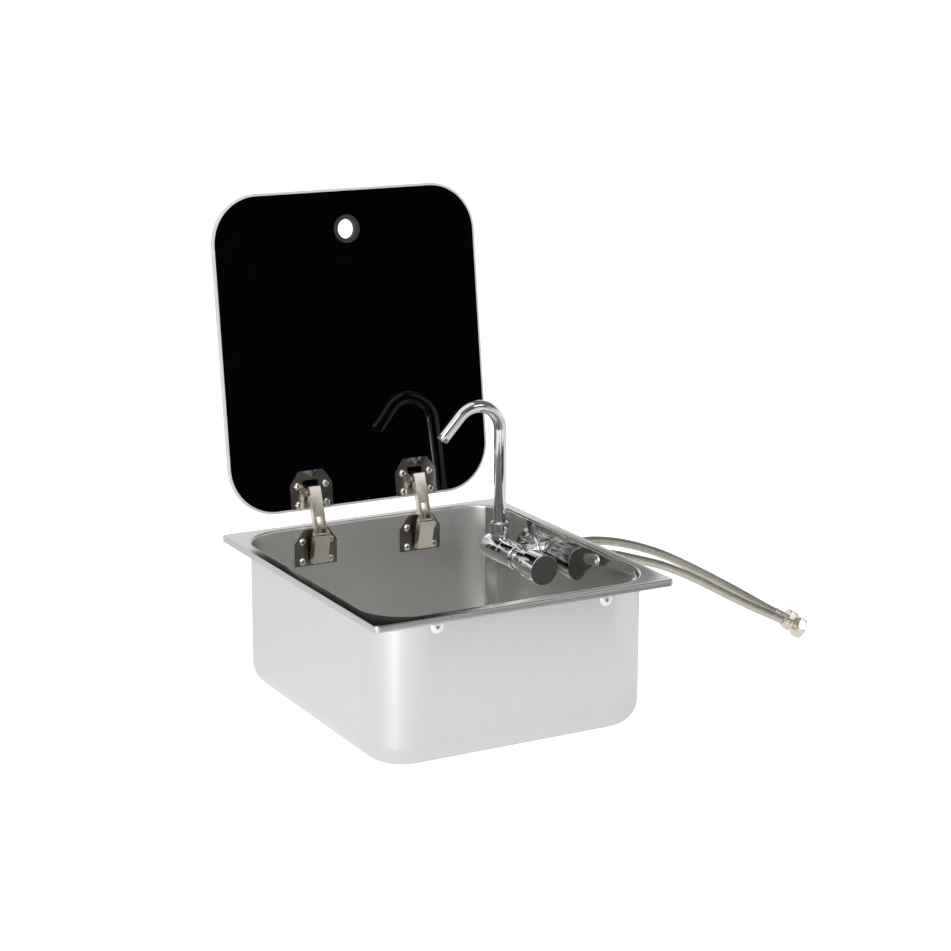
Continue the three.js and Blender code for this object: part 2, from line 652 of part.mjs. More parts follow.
function lidScrew() {
  const grip = STAMPING + GLASS + 3 * SEAT_GAP;
  const disc = SLEEVE_DISC / 2;
  const high = SLEEVE_DISC_HEIGHT;
  return screw(grip, (shank, end) => [[disc, end], [disc - 0.5, end + high], [0, end + high]]);
}

// Lid plate, drawn in the lid's own frame: Z along the glass, -Y off its inner face.
const openLift = minus(PIVOT_UPPER, LID_BASE);
const upperInLid = [
  openLift[0] * Math.cos(LEAN) - openLift[1] * Math.sin(LEAN),
  openLift[0] * Math.sin(LEAN) + openLift[1] * Math.cos(LEAN),
];

function upperPlate() {
  const back = -SEAT_GAP;
  const face = back - STAMPING;
  const plate = stampedPlate(UPPER_PLATE_SETBACK, back, UPPER_PLATE_SHIFT);
  const ear = [[face + 0.4, upperInLid[1] - 7.5], [face + 0.4, upperInLid[1] + 5.2],
    ...arc(upperInLid, 3.6, Math.PI / 3, 1.6 * Math.PI, 7)];
  const ears = pairOfWalls(ear, LID_EAR_HALF, [eye(upperInLid, PRESS_CLEARANCE)]);
  const slotFrom = upperInLid[1] + 5.5;
  const slotHalf = LID_EAR_HALF + 0.6;
  const slot = block(-slotHalf, slotHalf, face - 1, back + 1, slotFrom, slotFrom + 6.4);
  const xs = plateScrewX.map((x) => x + UPPER_PLATE_SHIFT);
  const holes = screwHoles(xs, lidScrewZ, face - 1, back + 1);
  return shell(cut(join(...plate, ...ears), slot, ...holes));
}

function hinge(side, x) {
  const put = (piece, geometry, material, parent) => {
    const mesh = place(`${side}_${piece}`, geometry, material, parent);
    mesh.position.x = x;
    return mesh;
  };
  put('lower_plate', lowerPlate(), NICKEL);
  put('lower_pin', rivet(PIVOT_LOWER, LOWER_ARM_HALF), NICKEL);
  put('hinge_spring', hingeSpring(), SPRING_STEEL);
  put('lower_arm', lowerArm(), NICKEL);
  put('knee_pin', rivet(PIVOT_KNEE, LOWER_ARM_HALF), NICKEL);
  put('upper_arm', upperArm(), NICKEL);
  put('spring_strut', springStrut(), NICKEL);
  put('inner_link', innerLink(), NICKEL);
  put('upper_plate', upperPlate(), NICKEL, lid);
  put('upper_pin', rivet(upperInLid, LID_EAR_HALF), NICKEL, lid);
  const places = [-1, 1].flatMap((half) => [0, 1].map((row) => [(half * SCREW_PITCH_X) / 2, row]));
  places.forEach(([dx, row], i) => {
    const inWall = put(`wall_screw_${i + 1}`, wallScrew(), NICKEL);
    inWall.position.set(x + dx, WALL_Y - STAMPING - 2 * SEAT_GAP, wallScrewZ[row]);
    const inLid = put(`lid_screw_${i + 1}`, lidScrew(), NICKEL, lid);
    inLid.position.set(x + dx + UPPER_PLATE_SHIFT, -STAMPING - 2 * SEAT_GAP, lidScrewZ[row]);
  });
}

hinge('left', -HINGE_X);
hinge('right', HINGE_X);

// ---------- lid ----------

function lidGlass() {
  const w = GLASS_WIDTH / 2;
  const outline = new THREE.Shape();
  outline.absarc(w - GLASS_CORNER, GLASS_CORNER, GLASS_CORNER, -Math.PI / 2, 0);
  outline.absarc(w - GLASS_CORNER, GLASS_HEIGHT - GLASS_CORNER, GLASS_CORNER, 0, Math.PI / 2);
  outline.absarc(GLASS_CORNER - w, GLASS_HEIGHT - GLASS_CORNER, GLASS_CORNER, Math.PI / 2, Math.PI);
  outline.absarc(GLASS_CORNER - w, GLASS_CORNER, GLASS_CORNER, Math.PI, 1.5 * Math.PI);
  const glass = new THREE.ExtrudeGeometry(outline, { depth: GLASS, bevelEnabled: false, curveSegments: 6 });
  glass.rotateX(Math.PI / 2).translate(0, GLASS, 0);
  const holes = screwHoles(screwPlacesX.map((x) => x + UPPER_PLATE_SHIFT), lidScrewZ, -1, GLASS + 1);
  const sleeve = FINGER_HOLE / 2 + GROMMET_SLEEVE + TURNED_GAP;
  const finger = rodY(sleeve, 0, GLASS_HEIGHT - FINGER_HOLE_FROM_EDGE, -1, GLASS + 1);
  return shell(cut(solid(glass), ...holes, finger));
}

function fingerGrommet() {
  const bore = FINGER_HOLE / 2;
  const sleeve = bore + GROMMET_SLEEVE;
  const flange = GROMMET_FLANGE / 2;
  const near = -SEAT_GAP;
  const far = GLASS + SEAT_GAP;
  const front = near - GROMMET_FLANGE_THICKNESS;
  const rear = far + GROMMET_FLANGE_THICKNESS;
  const ring = turnedRing([[bore, front + 0.4], [bore + 0.6, front], [flange - 0.6, front],
    [flange, near - 0.6], [flange, near], [sleeve, near], [sleeve, far], [flange, far],
    [flange, far + 0.8], [flange - 0.6, rear], [bore, rear]]);
  return ring.translate(0, 0, GLASS_HEIGHT - FINGER_HOLE_FROM_EDGE);
}

place('lid_glass', lidGlass(), BLACK_GLASS, lid);
place('finger_grommet', fingerGrommet(), RUBBER, lid);

// ---------- tap ----------

const knobRear = TAP_FRONT + KNOB_LENGTH;
const neckRear = knobRear + NECK_LENGTH;
const spoutY = bodyRear + SPOUT_FROM_SEAM;
const swivelFront = bodyRear + TURNED_GAP;
const swivelRear = swivelFront + SWIVEL_LENGTH;
const onTapAxis = (geometry) => geometry.translate(TAP_X, 0, TAP_Z);

// Fixed body: the cartridge housing, the boss to the wall and the hollow shank through it.
function tapBody() {
  const r = TAP_BODY / 2;
  const front = neckRear + SEAT_GAP;
  const housing = turned([[0, front], [r - 1, front], [r, front + 1], [r, bodyRear], [0, bodyRear]]);
  const bossEnd = WALL_X - ESCUTCHEON_THICKNESS - 2 * SEAT_GAP;
  const boss = rodX(BOSS / 2, shankY, TAP_Z, TAP_X, bossEnd);
  const shankEnd = BOWL_HX + SHANK_REACH;
  const shank = rodX(SHANK / 2 - TURNED_GAP, shankY, TAP_Z, bossEnd - 1, shankEnd);
  const bore = rodX(SHANK_BORE / 2, shankY, TAP_Z, shankEnd - SHANK_BORE_DEPTH, shankEnd + 1);
  const seatEnd = bodyRear - SPIGOT_LENGTH - TURNED_GAP;
  const seat = rodY(SPIGOT / 2 + TURNED_GAP, TAP_X, TAP_Z, seatEnd, bodyRear + 1);
  const cartridgeSeat = rodY(6, TAP_X, TAP_Z, front - 1, front + 6);
  return shell(cut(join(onTapAxis(housing), boss, shank), bore, seat, cartridgeSeat));
}

function shankParts() {
  const hole = SHANK / 2;
  const onShank = (geometry, x) => geometry.rotateZ(-Math.PI / 2).translate(x, shankY, TAP_Z);
  const rim = ESCUTCHEON / 2;
  const escutcheon = turnedRing([[hole, 0], [rim - 2, 0], [rim - 0.6, 1], [rim, 2.2],
    [rim, ESCUTCHEON_THICKNESS], [hole, ESCUTCHEON_THICKNESS]]);
  place('wall_escutcheon', onShank(escutcheon, WALL_X - ESCUTCHEON_THICKNESS - SEAT_GAP), CHROME);
  const washerX = BOWL_HX + SEAT_GAP;
  const wide = WASHER / 2;
  const washer = turnedRing([[hole, 0], [wide, 0], [wide, WASHER_THICKNESS], [hole, WASHER_THICKNESS]]);
  place('shank_washer', onShank(washer, washerX), RUBBER);
  const nutX = washerX + WASHER_THICKNESS + SEAT_GAP;
  const across = SHANK_NUT_FLATS / Math.sqrt(3);
  const long = SHANK_NUT_LENGTH;
  const blank = new THREE.CylinderGeometry(across, across, long, 6).translate(0, long / 2, 0);
  const bore = rodY(hole, 0, 0, -1, SHANK_NUT_LENGTH + 1);
  place('shank_nut', onShank(shell(cut(solid(blank), bore)), nutX), BRASS);
}

// Neck ring that holds the valve in the body.
function cartridgeNut() {
  const r = NECK / 2;
  const bore = 6;
  const a = knobRear + TURNED_GAP * 2;
  const b = neckRear;
  const ring = turnedRing([[bore, a], [r - 1, a], [r, a + 1], [r, b - 8], [r - 0.9, b - 7.4],
    [r - 0.9, b - 5.6], [r, b - 5], [r, b], [bore, b]]);
  place('cartridge_nut', onTapAxis(ring), CHROME);
}

function spindle() {
  const body = 6 - TURNED_GAP;
  const end = neckRear + 6;
  const start = knobRear + TURNED_GAP * 2;
  const tip = knobRear - SPINDLE_REACH;
  const stem = turned([[0, tip], [SPINDLE / 2, tip], [SPINDLE / 2, start], [body, start + 0.5],
    [body, end], [0, end]], 20);
  place('valve_spindle', onTapAxis(stem), BRASS);
}

function knobParts() {
  const r = KNOB / 2;
  const recess = KNOB_CAP / 2 + SEAT_GAP;
  const face = TAP_FRONT;
  const floor = face + KNOB_CAP_THICKNESS + SEAT_GAP;
  const boreEnd = knobRear - SPINDLE_REACH - 1;
  const bore = KNOB_BORE / 2;
  const body = turned([[0, floor], [recess, floor], [recess, face + 0.3], [r - 0.3, face + 0.3],
    [r, face + 1], [r, knobRear - 1.2], [r - 1.2, knobRear], [bore, knobRear], [bore, boreEnd], [0, boreEnd]]);
  place('control_knob', onTapAxis(body), CHROME);
  const cap = turned([[0, face], [KNOB_CAP / 2 - 0.5, face], [KNOB_CAP / 2, face + 0.5],
    [KNOB_CAP / 2, floor - SEAT_GAP], [0, floor - SEAT_GAP]]);
  place('knob_cap', onTapAxis(cap), BLACK_PLASTIC);
}

// Swivel body: turns on the fixed body's axis and carries the spout's socket.
function swivelParts() {
  const r = TAP_BODY / 2;
  const barrel = turned([[0, swivelFront - SPIGOT_LENGTH], [SPIGOT / 2, swivelFront - SPIGOT_LENGTH],
    [SPIGOT / 2, swivelFront], [r, swivelFront], [r, swivelRear], [0, swivelRear]]);
  const socket = rodZ(SOCKET / 2, TAP_X, spoutY, TAP_Z, TAP_Z + SOCKET_TOP);
  const bore = rodZ(PIPE / 2 + TURNED_GAP, TAP_X, spoutY, TAP_Z + SOCKET_TOP - 4, TAP_Z + SOCKET_TOP + 1);
  place('swivel_body', shell(cut(join(onTapAxis(barrel), socket), bore)), CHROME);
  const capFront = swivelRear + SEAT_GAP;
  const cap = turned([[0, capFront], [r, capFront], [r, capFront + 1.4], [r - 1.6, capFront + END_CAP_LENGTH],
    [0, capFront + END_CAP_LENGTH]]);
  place('swivel_end_cap', onTapAxis(cap), CHROME);
  const collarBottom = TAP_Z + SOCKET_TOP + SEAT_GAP;
  const c = COLLAR / 2;
  const bored = PIPE / 2 + TURNED_GAP;
  const high = COLLAR_LENGTH;
  const collar = turnedRing([[bored, 0], [c, 0], [c, high - 1.2], [c - 1.2, high], [bored, high]]);
  place('spout_collar', collar.rotateX(Math.PI / 2).translate(TAP_X, spoutY, collarBottom), CHROME);
}

// The spout's centre line: straight up, round the bend, and down the short leg.
class SpoutLine extends THREE.Curve {
  getPoint(t) {
    const turn = THREE.MathUtils.degToRad(PIPE_TURN);
    const length = PIPE_RISE + PIPE_BEND * turn + PIPE_LEG;
    const run = t * length;
    const angle = THREE.MathUtils.clamp((run - PIPE_RISE) / PIPE_BEND, 0, turn);
    const leg = Math.max(run - PIPE_RISE - PIPE_BEND * turn, 0);
    const x = -PIPE_BEND * (1 - Math.cos(angle)) - leg * Math.sin(angle);
    const z = Math.min(run, PIPE_RISE) + PIPE_BEND * Math.sin(angle) + leg * Math.cos(angle);
    return new THREE.Vector3(x, 0, z);
  }
}

function spoutParts() {
  const foot = TAP_Z + SOCKET_TOP - 4 + TURNED_GAP;
  const line = new SpoutLine();
  const section = new THREE.Shape();
  section.absarc(0, 0, PIPE / 2, 0, 2 * Math.PI);
  const pipe = new THREE.ExtrudeGeometry(section, { steps: 36, curveSegments: 7, extrudePath: line });
  const end = line.getPoint(1);
  const inward = line.getTangent(1).negate();
  const alongLeg = new THREE.Quaternion().setFromUnitVectors(new THREE.Vector3(0, 1, 0), inward);
  const onLeg = (geometry) => geometry.applyQuaternion(alongLeg).translate(end.x, end.y, end.z);
  const wide = AERATOR / 2;
  const mouth = onLeg(turned([[0, -1], [wide, -1], [wide, AERATOR_DEPTH], [0, AERATOR_DEPTH]], 20));
  const spout = shell(cut(solid(pipe), mouth)).translate(TAP_X, spoutY, foot);
  place('spout_pipe', spout, CHROME);
  const r = wide - SEAT_GAP;
  const insert = onLeg(turned([[0, 1.6], [r - 1.2, 1.6], [r - 1.2, 0.6], [r, 0.6],
    [r, AERATOR_DEPTH - TURNED_GAP], [0, AERATOR_DEPTH - TURNED_GAP]], 20));
  place('spout_aerator', insert.translate(TAP_X, spoutY, foot), BLACK_PLASTIC);
}

place('tap_body', tapBody(), CHROME);
shankParts();
cartridgeNut();
spindle();
knobParts();
swivelParts();
spoutParts();

// ---------- hoses ----------

function hose(name, offset, route) {
  const boreFloor = BOWL_HX + SHANK_REACH - SHANK_BORE_DEPTH;
  const y = shankY + offset;
  const start = [[boreFloor + TURNED_GAP, y, TAP_Z], [boreFloor + SHANK_BORE_DEPTH, y, TAP_Z]];
  const free = route.map(([x, py, z]) => [WALL_X + x, py, z]);
  const points = [...start, ...free].map((p) => new THREE.Vector3(...p));
  const path = new THREE.CatmullRomCurve3(points, false, 'centripetal');
  const section = new THREE.Shape();
  section.absarc(0, 0, HOSE / 2, 0, 2 * Math.PI);
  const steps = Math.round(path.getLength() / HOSE_STEP) * 2;
  const tubeShape = { steps, curveSegments: HOSE_SIDES / 2, bevelEnabled: false, extrudePath: path };
  const tube = new THREE.ExtrudeGeometry(section, tubeShape);
  place(`${name}_hose`, tube, BRAID);
  const end = path.getPoint(1);
  const outward = path.getTangent(1);
  const turnTo = new THREE.Quaternion().setFromUnitVectors(new THREE.Vector3(0, 1, 0), outward);
  const onEnd = (geometry) => geometry.applyQuaternion(turnTo).translate(end.x, end.y, end.z);
  const f = FERRULE / 2;
  const neck = f - 1.2;
  const stem = HOSE_NUT_BORE / 2 - TURNED_GAP;
  const ferruleEnd = TURNED_GAP + FERRULE_LENGTH;
  const collar = ferruleEnd + HOSE_NUT_LIP + TURNED_GAP;
  const ferrule = turned([[0, TURNED_GAP], [f - 0.6, TURNED_GAP], [f, TURNED_GAP + 0.8], [f, ferruleEnd - 4],
    [neck, ferruleEnd - 3], [neck, collar], [stem, collar], [stem, collar + 2], [0, collar + 2]], 20);
  place(`${name}_hose_ferrule`, onEnd(ferrule), NUT_PLATE);
  const across = HOSE_NUT_FLATS / Math.sqrt(3);
  const long = HOSE_NUT_LENGTH;
  const blank = new THREE.CylinderGeometry(across, across, long, 6).translate(0, long / 2, 0);
  const chamfer = turned([[0, 0], [across * 0.87, 0], [across * 1.02, 1.2], [across * 1.02, long - 1.2],
    [across * 0.87, long], [0, long]], 24);
  const bore = rodY(HOSE_NUT_BORE / 2, 0, 0, HOSE_NUT_LIP, HOSE_NUT_LENGTH + 1, 16);
  const lipHole = rodY(neck + TURNED_GAP, 0, 0, -1, HOSE_NUT_LENGTH, 16);
  const nut = cut(solid(blank).intersect(solid(chamfer)), bore, lipHole);
  place(`${name}_hose_nut`, onEnd(shell(nut).translate(0, ferruleEnd, 0)), NUT_PLATE);
}

hose('cold', -HOSE_SPACING / 2, COLD_ROUTE);
hose('hot', HOSE_SPACING / 2, HOT_ROUTE);

export default sink;
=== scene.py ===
"""Caravan sink with a glass lid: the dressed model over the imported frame.

Lengths in this file are in millimetres and turn to metres where a mesh is made.
X runs along the front edge, Y towards the hinges, Z up; the lid is open.
"""
import math

import bmesh
import bpy
import numpy as np
from mathutils import Matrix


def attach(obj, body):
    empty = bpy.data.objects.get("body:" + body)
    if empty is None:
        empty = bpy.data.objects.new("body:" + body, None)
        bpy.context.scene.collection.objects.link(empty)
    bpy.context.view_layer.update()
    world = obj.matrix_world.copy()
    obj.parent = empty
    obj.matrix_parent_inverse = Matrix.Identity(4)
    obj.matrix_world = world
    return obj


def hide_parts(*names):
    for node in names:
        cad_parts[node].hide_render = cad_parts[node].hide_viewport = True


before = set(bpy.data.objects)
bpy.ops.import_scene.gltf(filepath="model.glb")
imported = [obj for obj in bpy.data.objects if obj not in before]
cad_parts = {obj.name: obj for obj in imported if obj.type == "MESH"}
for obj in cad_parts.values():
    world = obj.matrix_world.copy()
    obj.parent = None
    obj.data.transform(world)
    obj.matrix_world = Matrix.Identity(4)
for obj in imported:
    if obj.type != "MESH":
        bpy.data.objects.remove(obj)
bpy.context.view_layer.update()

MM = 0.001

# ---------- sizes, as in the part's source ----------

RIM_Z = 150.0
SHEET = 0.8
RIM_HALF = (160.0, 175.0)
BOWL_HALF = (148.2, 162.9)
BOWL_CORNER = 45.0
BASE_RADIUS = 24.0
RIM_BEND = 1.5
RIM_CORNER = 6.0
LIP_HEIGHT = 6.5
LIP_BEND = 0.8
WALL_X = BOWL_HALF[0] - SHEET
WALL_Y = BOWL_HALF[1] - SHEET
FRONT_FIXING_Z = RIM_Z - 13.5
SIDE_FIXING_Z = RIM_Z - 10.0
FRONT_FIXING_X = 90.4
SIDE_FIXING_Y = (-53.0, -123.0)
# How far the painted highlight ring reaches round a fixing hole, and the rubbed steel in from the tap's wall.
HIGHLIGHT_RING_RADIUS = 7.2
MIRROR_DEPTH = 13.0
DRAIN_Y = 60.0
DRAIN_NECK = 24.0
DRAIN_FLANGE = 31.0
DRAIN_HOLES = 6
DRAIN_HOLE_RING = 14.0

GLASS_HALF = 149.25
GLASS_HEIGHT = 326.4
GLASS = 5.0
GLASS_CORNER = 51.0
LEAN = math.radians(7.5)
LID_BASE = (0.0, WALL_Y + 8.6, RIM_Z + 14.8)
PRINT_EDGE = 2.4
FINGER_U = GLASS_HEIGHT - 41.4
FINGER_HOLE = 12.9

HINGE_X = 60.4
PIVOT_LOWER = (WALL_Y - 6.9, RIM_Z - 35.6)
PIVOT_KNEE = (WALL_Y - 13.1, RIM_Z - 6.5)
PIVOT_UPPER = (WALL_Y + 3.0, RIM_Z + 35.2)
LID_PLATE_SHIFT = 0.9
SCREW_X = 15.7
WALL_SCREW_Z = (RIM_Z - 36.4, RIM_Z - 15.6)
LID_SCREW_U = (6.4, 25.8)
STAMPING = 1.2
BRACKET_HALF = 6.8
SPRING_RADIUS = 2.6
SPRING_WIRE_RADIUS = 0.35
SPRING_PITCH = 1.24

# Radii of the tap's round parts.
SHANK = 12.0
SHANK_HOLE = 13.3
BODY = 13.5
SOCKET = 8.5
COLLAR = 9.2
PIPE = 6.5
TAP_X = WALL_X - 22.4
TAP_Z = RIM_Z - 35.0
KNOB_FRONT = 11.4
KNOB_REAR = 37.0
NECK_REAR = 63.4
BODY_REAR = 88.4
SHANK_Y = BODY_REAR - 12.0
SPOUT_Y = BODY_REAR + 16.4
SWIVEL_REAR = BODY_REAR + 32.3
SOCKET_TOP = TAP_Z + 15.8
PIPE_FOOT = SOCKET_TOP - 3.7
PIPE_RISE = 115.7
PIPE_BEND = 27.8
PIPE_TURN = math.radians(137.0)
PIPE_LEG = 30.4

# ---------- camera ----------

CAMERA_AT = (-1.0639, -2.0033, 0.8004)
TOWARDS_CAMERA = np.array([-0.4676, -0.8499, 0.2431])
CAMERA_ROLL = math.radians(0.23)
LENS = 90.68


def unit(vector):
    return vector / np.linalg.norm(vector)


def placed(name, data):
    """An object that shows data, in the scene."""
    thing = bpy.data.objects.new(name, data)
    bpy.context.scene.collection.objects.link(thing)
    return thing


def add_camera():
    """The photograph's viewpoint: a long lens, in line with TOWARDS_CAMERA, turned a little about its axis."""
    back = unit(TOWARDS_CAMERA)
    right = unit(np.cross(-back, (0, 0, 1)))
    up = np.cross(right, -back)
    turned_right = math.cos(CAMERA_ROLL) * right + math.sin(CAMERA_ROLL) * up
    turned_up = math.cos(CAMERA_ROLL) * up - math.sin(CAMERA_ROLL) * right
    data = bpy.data.cameras.new("camera")
    data.lens = LENS
    data.sensor_width = 36.0
    data.clip_end = 100.0  # metres: the floor reaches 30
    camera = placed("camera", data)
    axes = Matrix(np.column_stack([turned_right, turned_up, back]).tolist()).to_4x4()
    camera.matrix_world = Matrix.Translation(CAMERA_AT) @ axes
    bpy.context.scene.camera = camera


add_camera()

# ---------- meshes ----------


def grid_part(rings, close_rows=False):
    """Rings of points, shaped (rows, columns, 3), as one part: its points, and the quads between rings;
    close_rows joins the last ring to the first."""
    rows, columns, _ = rings.shape
    row = np.arange(rows if close_rows else rows - 1)[:, None]
    column = np.arange(columns)[None, :]
    after_row, after_column = (row + 1) % rows, (column + 1) % columns
    corners = [row * columns + column, row * columns + after_column,
               after_row * columns + after_column, after_row * columns + column]
    return rings.reshape(-1, 3), np.stack(corners, -1).reshape(-1, 4)


def merged(*parts):
    """Several parts as one: points one after another, and quads counted on."""
    starts = np.cumsum([0] + [len(points) for points, _ in parts[:-1]])
    points = np.concatenate([points for points, _ in parts])
    return points, np.concatenate([faces + start for (_, faces), start in zip(parts, starts)])


def moved(part, matrix=None, offset=(0.0, 0.0, 0.0)):
    points, faces = part
    if matrix is not None:
        points = points @ np.asarray(matrix, float).T
    return points + np.asarray(offset, float), faces


# Turns that lay a part's own axis, Z, along X or Y.
ALONG_X = ((0, 0, 1), (0, 1, 0), (-1, 0, 0))
ALONG_Y = ((1, 0, 0), (0, 0, 1), (0, -1, 0))
# Lays it against Y, and mirrors the part, which is round.
AGAINST_Y = ((1, 0, 0), (0, 0, -1), (0, -1, 0))
# A quarter turn about Z, for a nut that rests on a flat.
QUARTER_TURN = ((0, -1, 0), (1, 0, 0), (0, 0, 1))


def softened(profile, radius, steps=4, closed=False):
    """A profile with round corners: each corner P gives way to the curve
    (1-t)^2 A + 2t(1-t) P + t^2 B, where A and B lie radius back along its two sides, at most 0.45 of a side."""
    points = np.asarray(profile, float)
    before, after = np.roll(points, 1, 0), np.roll(points, -1, 0)
    reach_back = np.linalg.norm(before - points, axis=1)[:, None]
    reach_on = np.linalg.norm(after - points, axis=1)[:, None]
    a = points + (before - points) * np.minimum(radius / np.maximum(reach_back, 1e-9), 0.45)
    b = points + (after - points) * np.minimum(radius / np.maximum(reach_on, 1e-9), 0.45)
    t = np.linspace(0.0, 1.0, steps + 1)[None, :, None]
    curve = (1 - t) ** 2 * a[:, None] + 2 * t * (1 - t) * points[:, None] + t ** 2 * b[:, None]
    if closed:
        return curve.reshape(-1, 2)
    return np.concatenate([points[:1], curve[1:-1].reshape(-1, 2), points[-1:]])


def block(bore, radius, start, end):
    """Section of a plain ring from start to end or, with no bore, of a plain cylinder."""
    return [(bore, start), (radius, start), (radius, end), (bore, end)]


def turned(profile, sides=72, closed=False):
    """A profile of (radius, height) pairs carried round the Z axis: (r cos a, r sin a, h)."""
    profile = np.asarray(profile, float)
    angle = np.linspace(0.0, 2 * math.pi, sides, endpoint=False)
    radius, height = profile[:, :1], profile[:, 1:]
    rings = np.stack([radius * np.cos(angle), radius * np.sin(angle), height + 0 * angle], -1)
    return grid_part(rings, closed)


def tube(path, radius, sides=40, caps=True):
    """A round tube along a path: at each point the tangent T, and a frame carried on without twist,
    so that a ring is P + r (U cos a + V sin a). radius may be an array over (points, sides)."""
    path = np.asarray(path, float)
    tangent = np.gradient(path, axis=0)
    tangent /= np.linalg.norm(tangent, axis=1)[:, None]
    u = np.empty_like(path)
    start = np.cross(tangent[0], (0.0, 1.0, 0.0) if abs(tangent[0][1]) < 0.9 else (0.0, 0.0, 1.0))
    u[0] = unit(start)
    for i in range(1, len(path)):
        u[i] = unit(u[i - 1] - tangent[i] * np.dot(u[i - 1], tangent[i]))
    v = np.cross(tangent, u)
    angle = np.linspace(0.0, 2 * math.pi, sides, endpoint=False)
    reach = np.broadcast_to(np.asarray(radius, float), (len(path), sides))[..., None]
    spoke = u[:, None] * np.cos(angle)[None, :, None] + v[:, None] * np.sin(angle)[None, :, None]
    rings = path[:, None] + reach * spoke
    if caps:
        ends = [np.repeat(path[k][None, None], sides, 1) for k in (0, -1)]
        rings = np.concatenate([ends[0], rings, ends[1]])
    return grid_part(rings)


def rounded_rectangle(half_x, half_y, corner, steps):
    """Points of a rectangle whose corners are quarter circles, as (4 steps, 2), counter-clockwise."""
    angle = np.linspace(0.0, math.pi / 2, steps)
    quarter = np.arange(4)[:, None]
    turn = angle[None, :] + quarter * math.pi / 2
    sign_x = np.array([1, -1, -1, 1])[:, None]
    sign_y = np.array([1, 1, -1, -1])[:, None]
    x = sign_x * (half_x - corner) + corner * np.cos(turn)
    y = sign_y * (half_y - corner) + corner * np.sin(turn)
    return np.stack([x, y], -1).reshape(-1, 2)


def part_mesh(name, part):
    """A part's points, turned to metres, and its faces as a mesh."""
    points, faces = part
    mesh = bpy.data.meshes.new(name)
    mesh.from_pydata((np.asarray(points) * MM).tolist(), [], np.asarray(faces).tolist())
    return mesh


def clean(mesh, slivers):
    """Doubles merged, slivers dissolved where asked, and faces turned outwards; distances are in metres."""
    tidy = bmesh.new()
    tidy.from_mesh(mesh)
    bmesh.ops.remove_doubles(tidy, verts=tidy.verts, dist=2e-7)
    if slivers:
        bmesh.ops.dissolve_degenerate(tidy, edges=tidy.edges, dist=1e-8)
    bmesh.ops.recalc_face_normals(tidy, faces=tidy.faces)
    tidy.to_mesh(mesh)
    tidy.free()


def make(name, part, material, body, replaces, smooth=28.0):
    """A closed part as a piece of the sink."""
    return finish_object(name, part_mesh(name, part), material, body, replaces, smooth)


def finish_object(name, mesh, material, body, replaces, smooth=28.0, bevel=None):
    """A mesh as a piece of the sink: edges over smooth degrees kept sharp and, where bevel is given,
    broken by that many millimetres. A mesh that holds its materials already is given none."""
    clean(mesh, slivers=True)
    mesh.polygons.foreach_set("use_smooth", np.ones(len(mesh.polygons), bool))
    mesh.set_sharp_from_angle(angle=math.radians(smooth))
    if material:
        mesh.materials.append(material)
    piece = placed(name, mesh)
    if bevel:
        edge = piece.modifiers.new("edge", "BEVEL")
        edge.width = bevel * MM
        edge.segments = 2
        edge.limit_method = "ANGLE"
        edge.angle_limit = math.radians(35)
        edge.harden_normals = True
    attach(piece, body)
    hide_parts(*replaces)
    return piece


def face_values(mesh, kind):
    """The centre of each face, in metres, or its normal, as (faces, 3)."""
    values = np.empty(len(mesh.polygons) * 3)
    mesh.polygons.foreach_get(kind, values)
    return values.reshape(-1, 3)


def corner_reach(x, y, half, corner):
    """How far (x, y) stands out from the lines that join the corner centres of a rounded rectangle:
    on its edge this is the corner's radius."""
    over_x, over_y = np.abs(x) - half[0] + corner, np.abs(y) - half[1] + corner
    return np.where((over_x > 0) & (over_y > 0), np.hypot(over_x, over_y), np.maximum(over_x, over_y))


def scratch(part):
    """A part as a loose object, for cutting with."""
    mesh = part_mesh("scratch", part)
    clean(mesh, slivers=False)
    return placed("scratch", mesh)


def carved(part, *steps):
    """The mesh of a part after a row of (operation, part) steps: UNION adds, DIFFERENCE cuts."""
    body = scratch(part)
    tools = []
    for operation, other in steps:
        tool = scratch(other)
        tools.append(tool)
        change = body.modifiers.new(operation, "BOOLEAN")
        change.operation = operation
        change.solver = "EXACT"
        change.object = tool
    graph = bpy.context.evaluated_depsgraph_get()
    mesh = bpy.data.meshes.new_from_object(body.evaluated_get(graph))
    for loose in [body, *tools]:
        bpy.data.objects.remove(loose, do_unlink=True)
    mesh.materials.clear()
    return mesh


# ---------- materials ----------


def linear(code):
    """An sRGB hex code as linear red, green, blue and full alpha."""
    value = np.array([int(code[i:i + 2], 16) / 255 for i in (1, 3, 5)])
    value = np.where(value <= 0.04045, value / 12.92, ((value + 0.055) / 1.055) ** 2.4)
    return (*map(float, value), 1.0)


def add(tree, kind, inputs=None, **settings):
    """One shader node: its settings, then its inputs, each a value, the socket that feeds it, or the node
    whose first output does."""
    node = tree.nodes.new("ShaderNode" + kind)
    for name, value in settings.items():
        setattr(node, name, value)
    for name, value in (inputs or {}).items():
        if isinstance(value, bpy.types.Node):
            value = value.outputs[0]
        if isinstance(value, bpy.types.NodeSocket):
            tree.links.new(value, node.inputs[name])
        else:
            node.inputs[name].default_value = value
    return node


def new_finish(name):
    finish = bpy.data.materials.new(name)
    finish.use_nodes = True
    finish.node_tree.nodes.clear()
    return finish, finish.node_tree


# A noise seldom leaves this band, so a ramp from dark to light spans it.
NOISE_BAND = (0.3, 0.7)


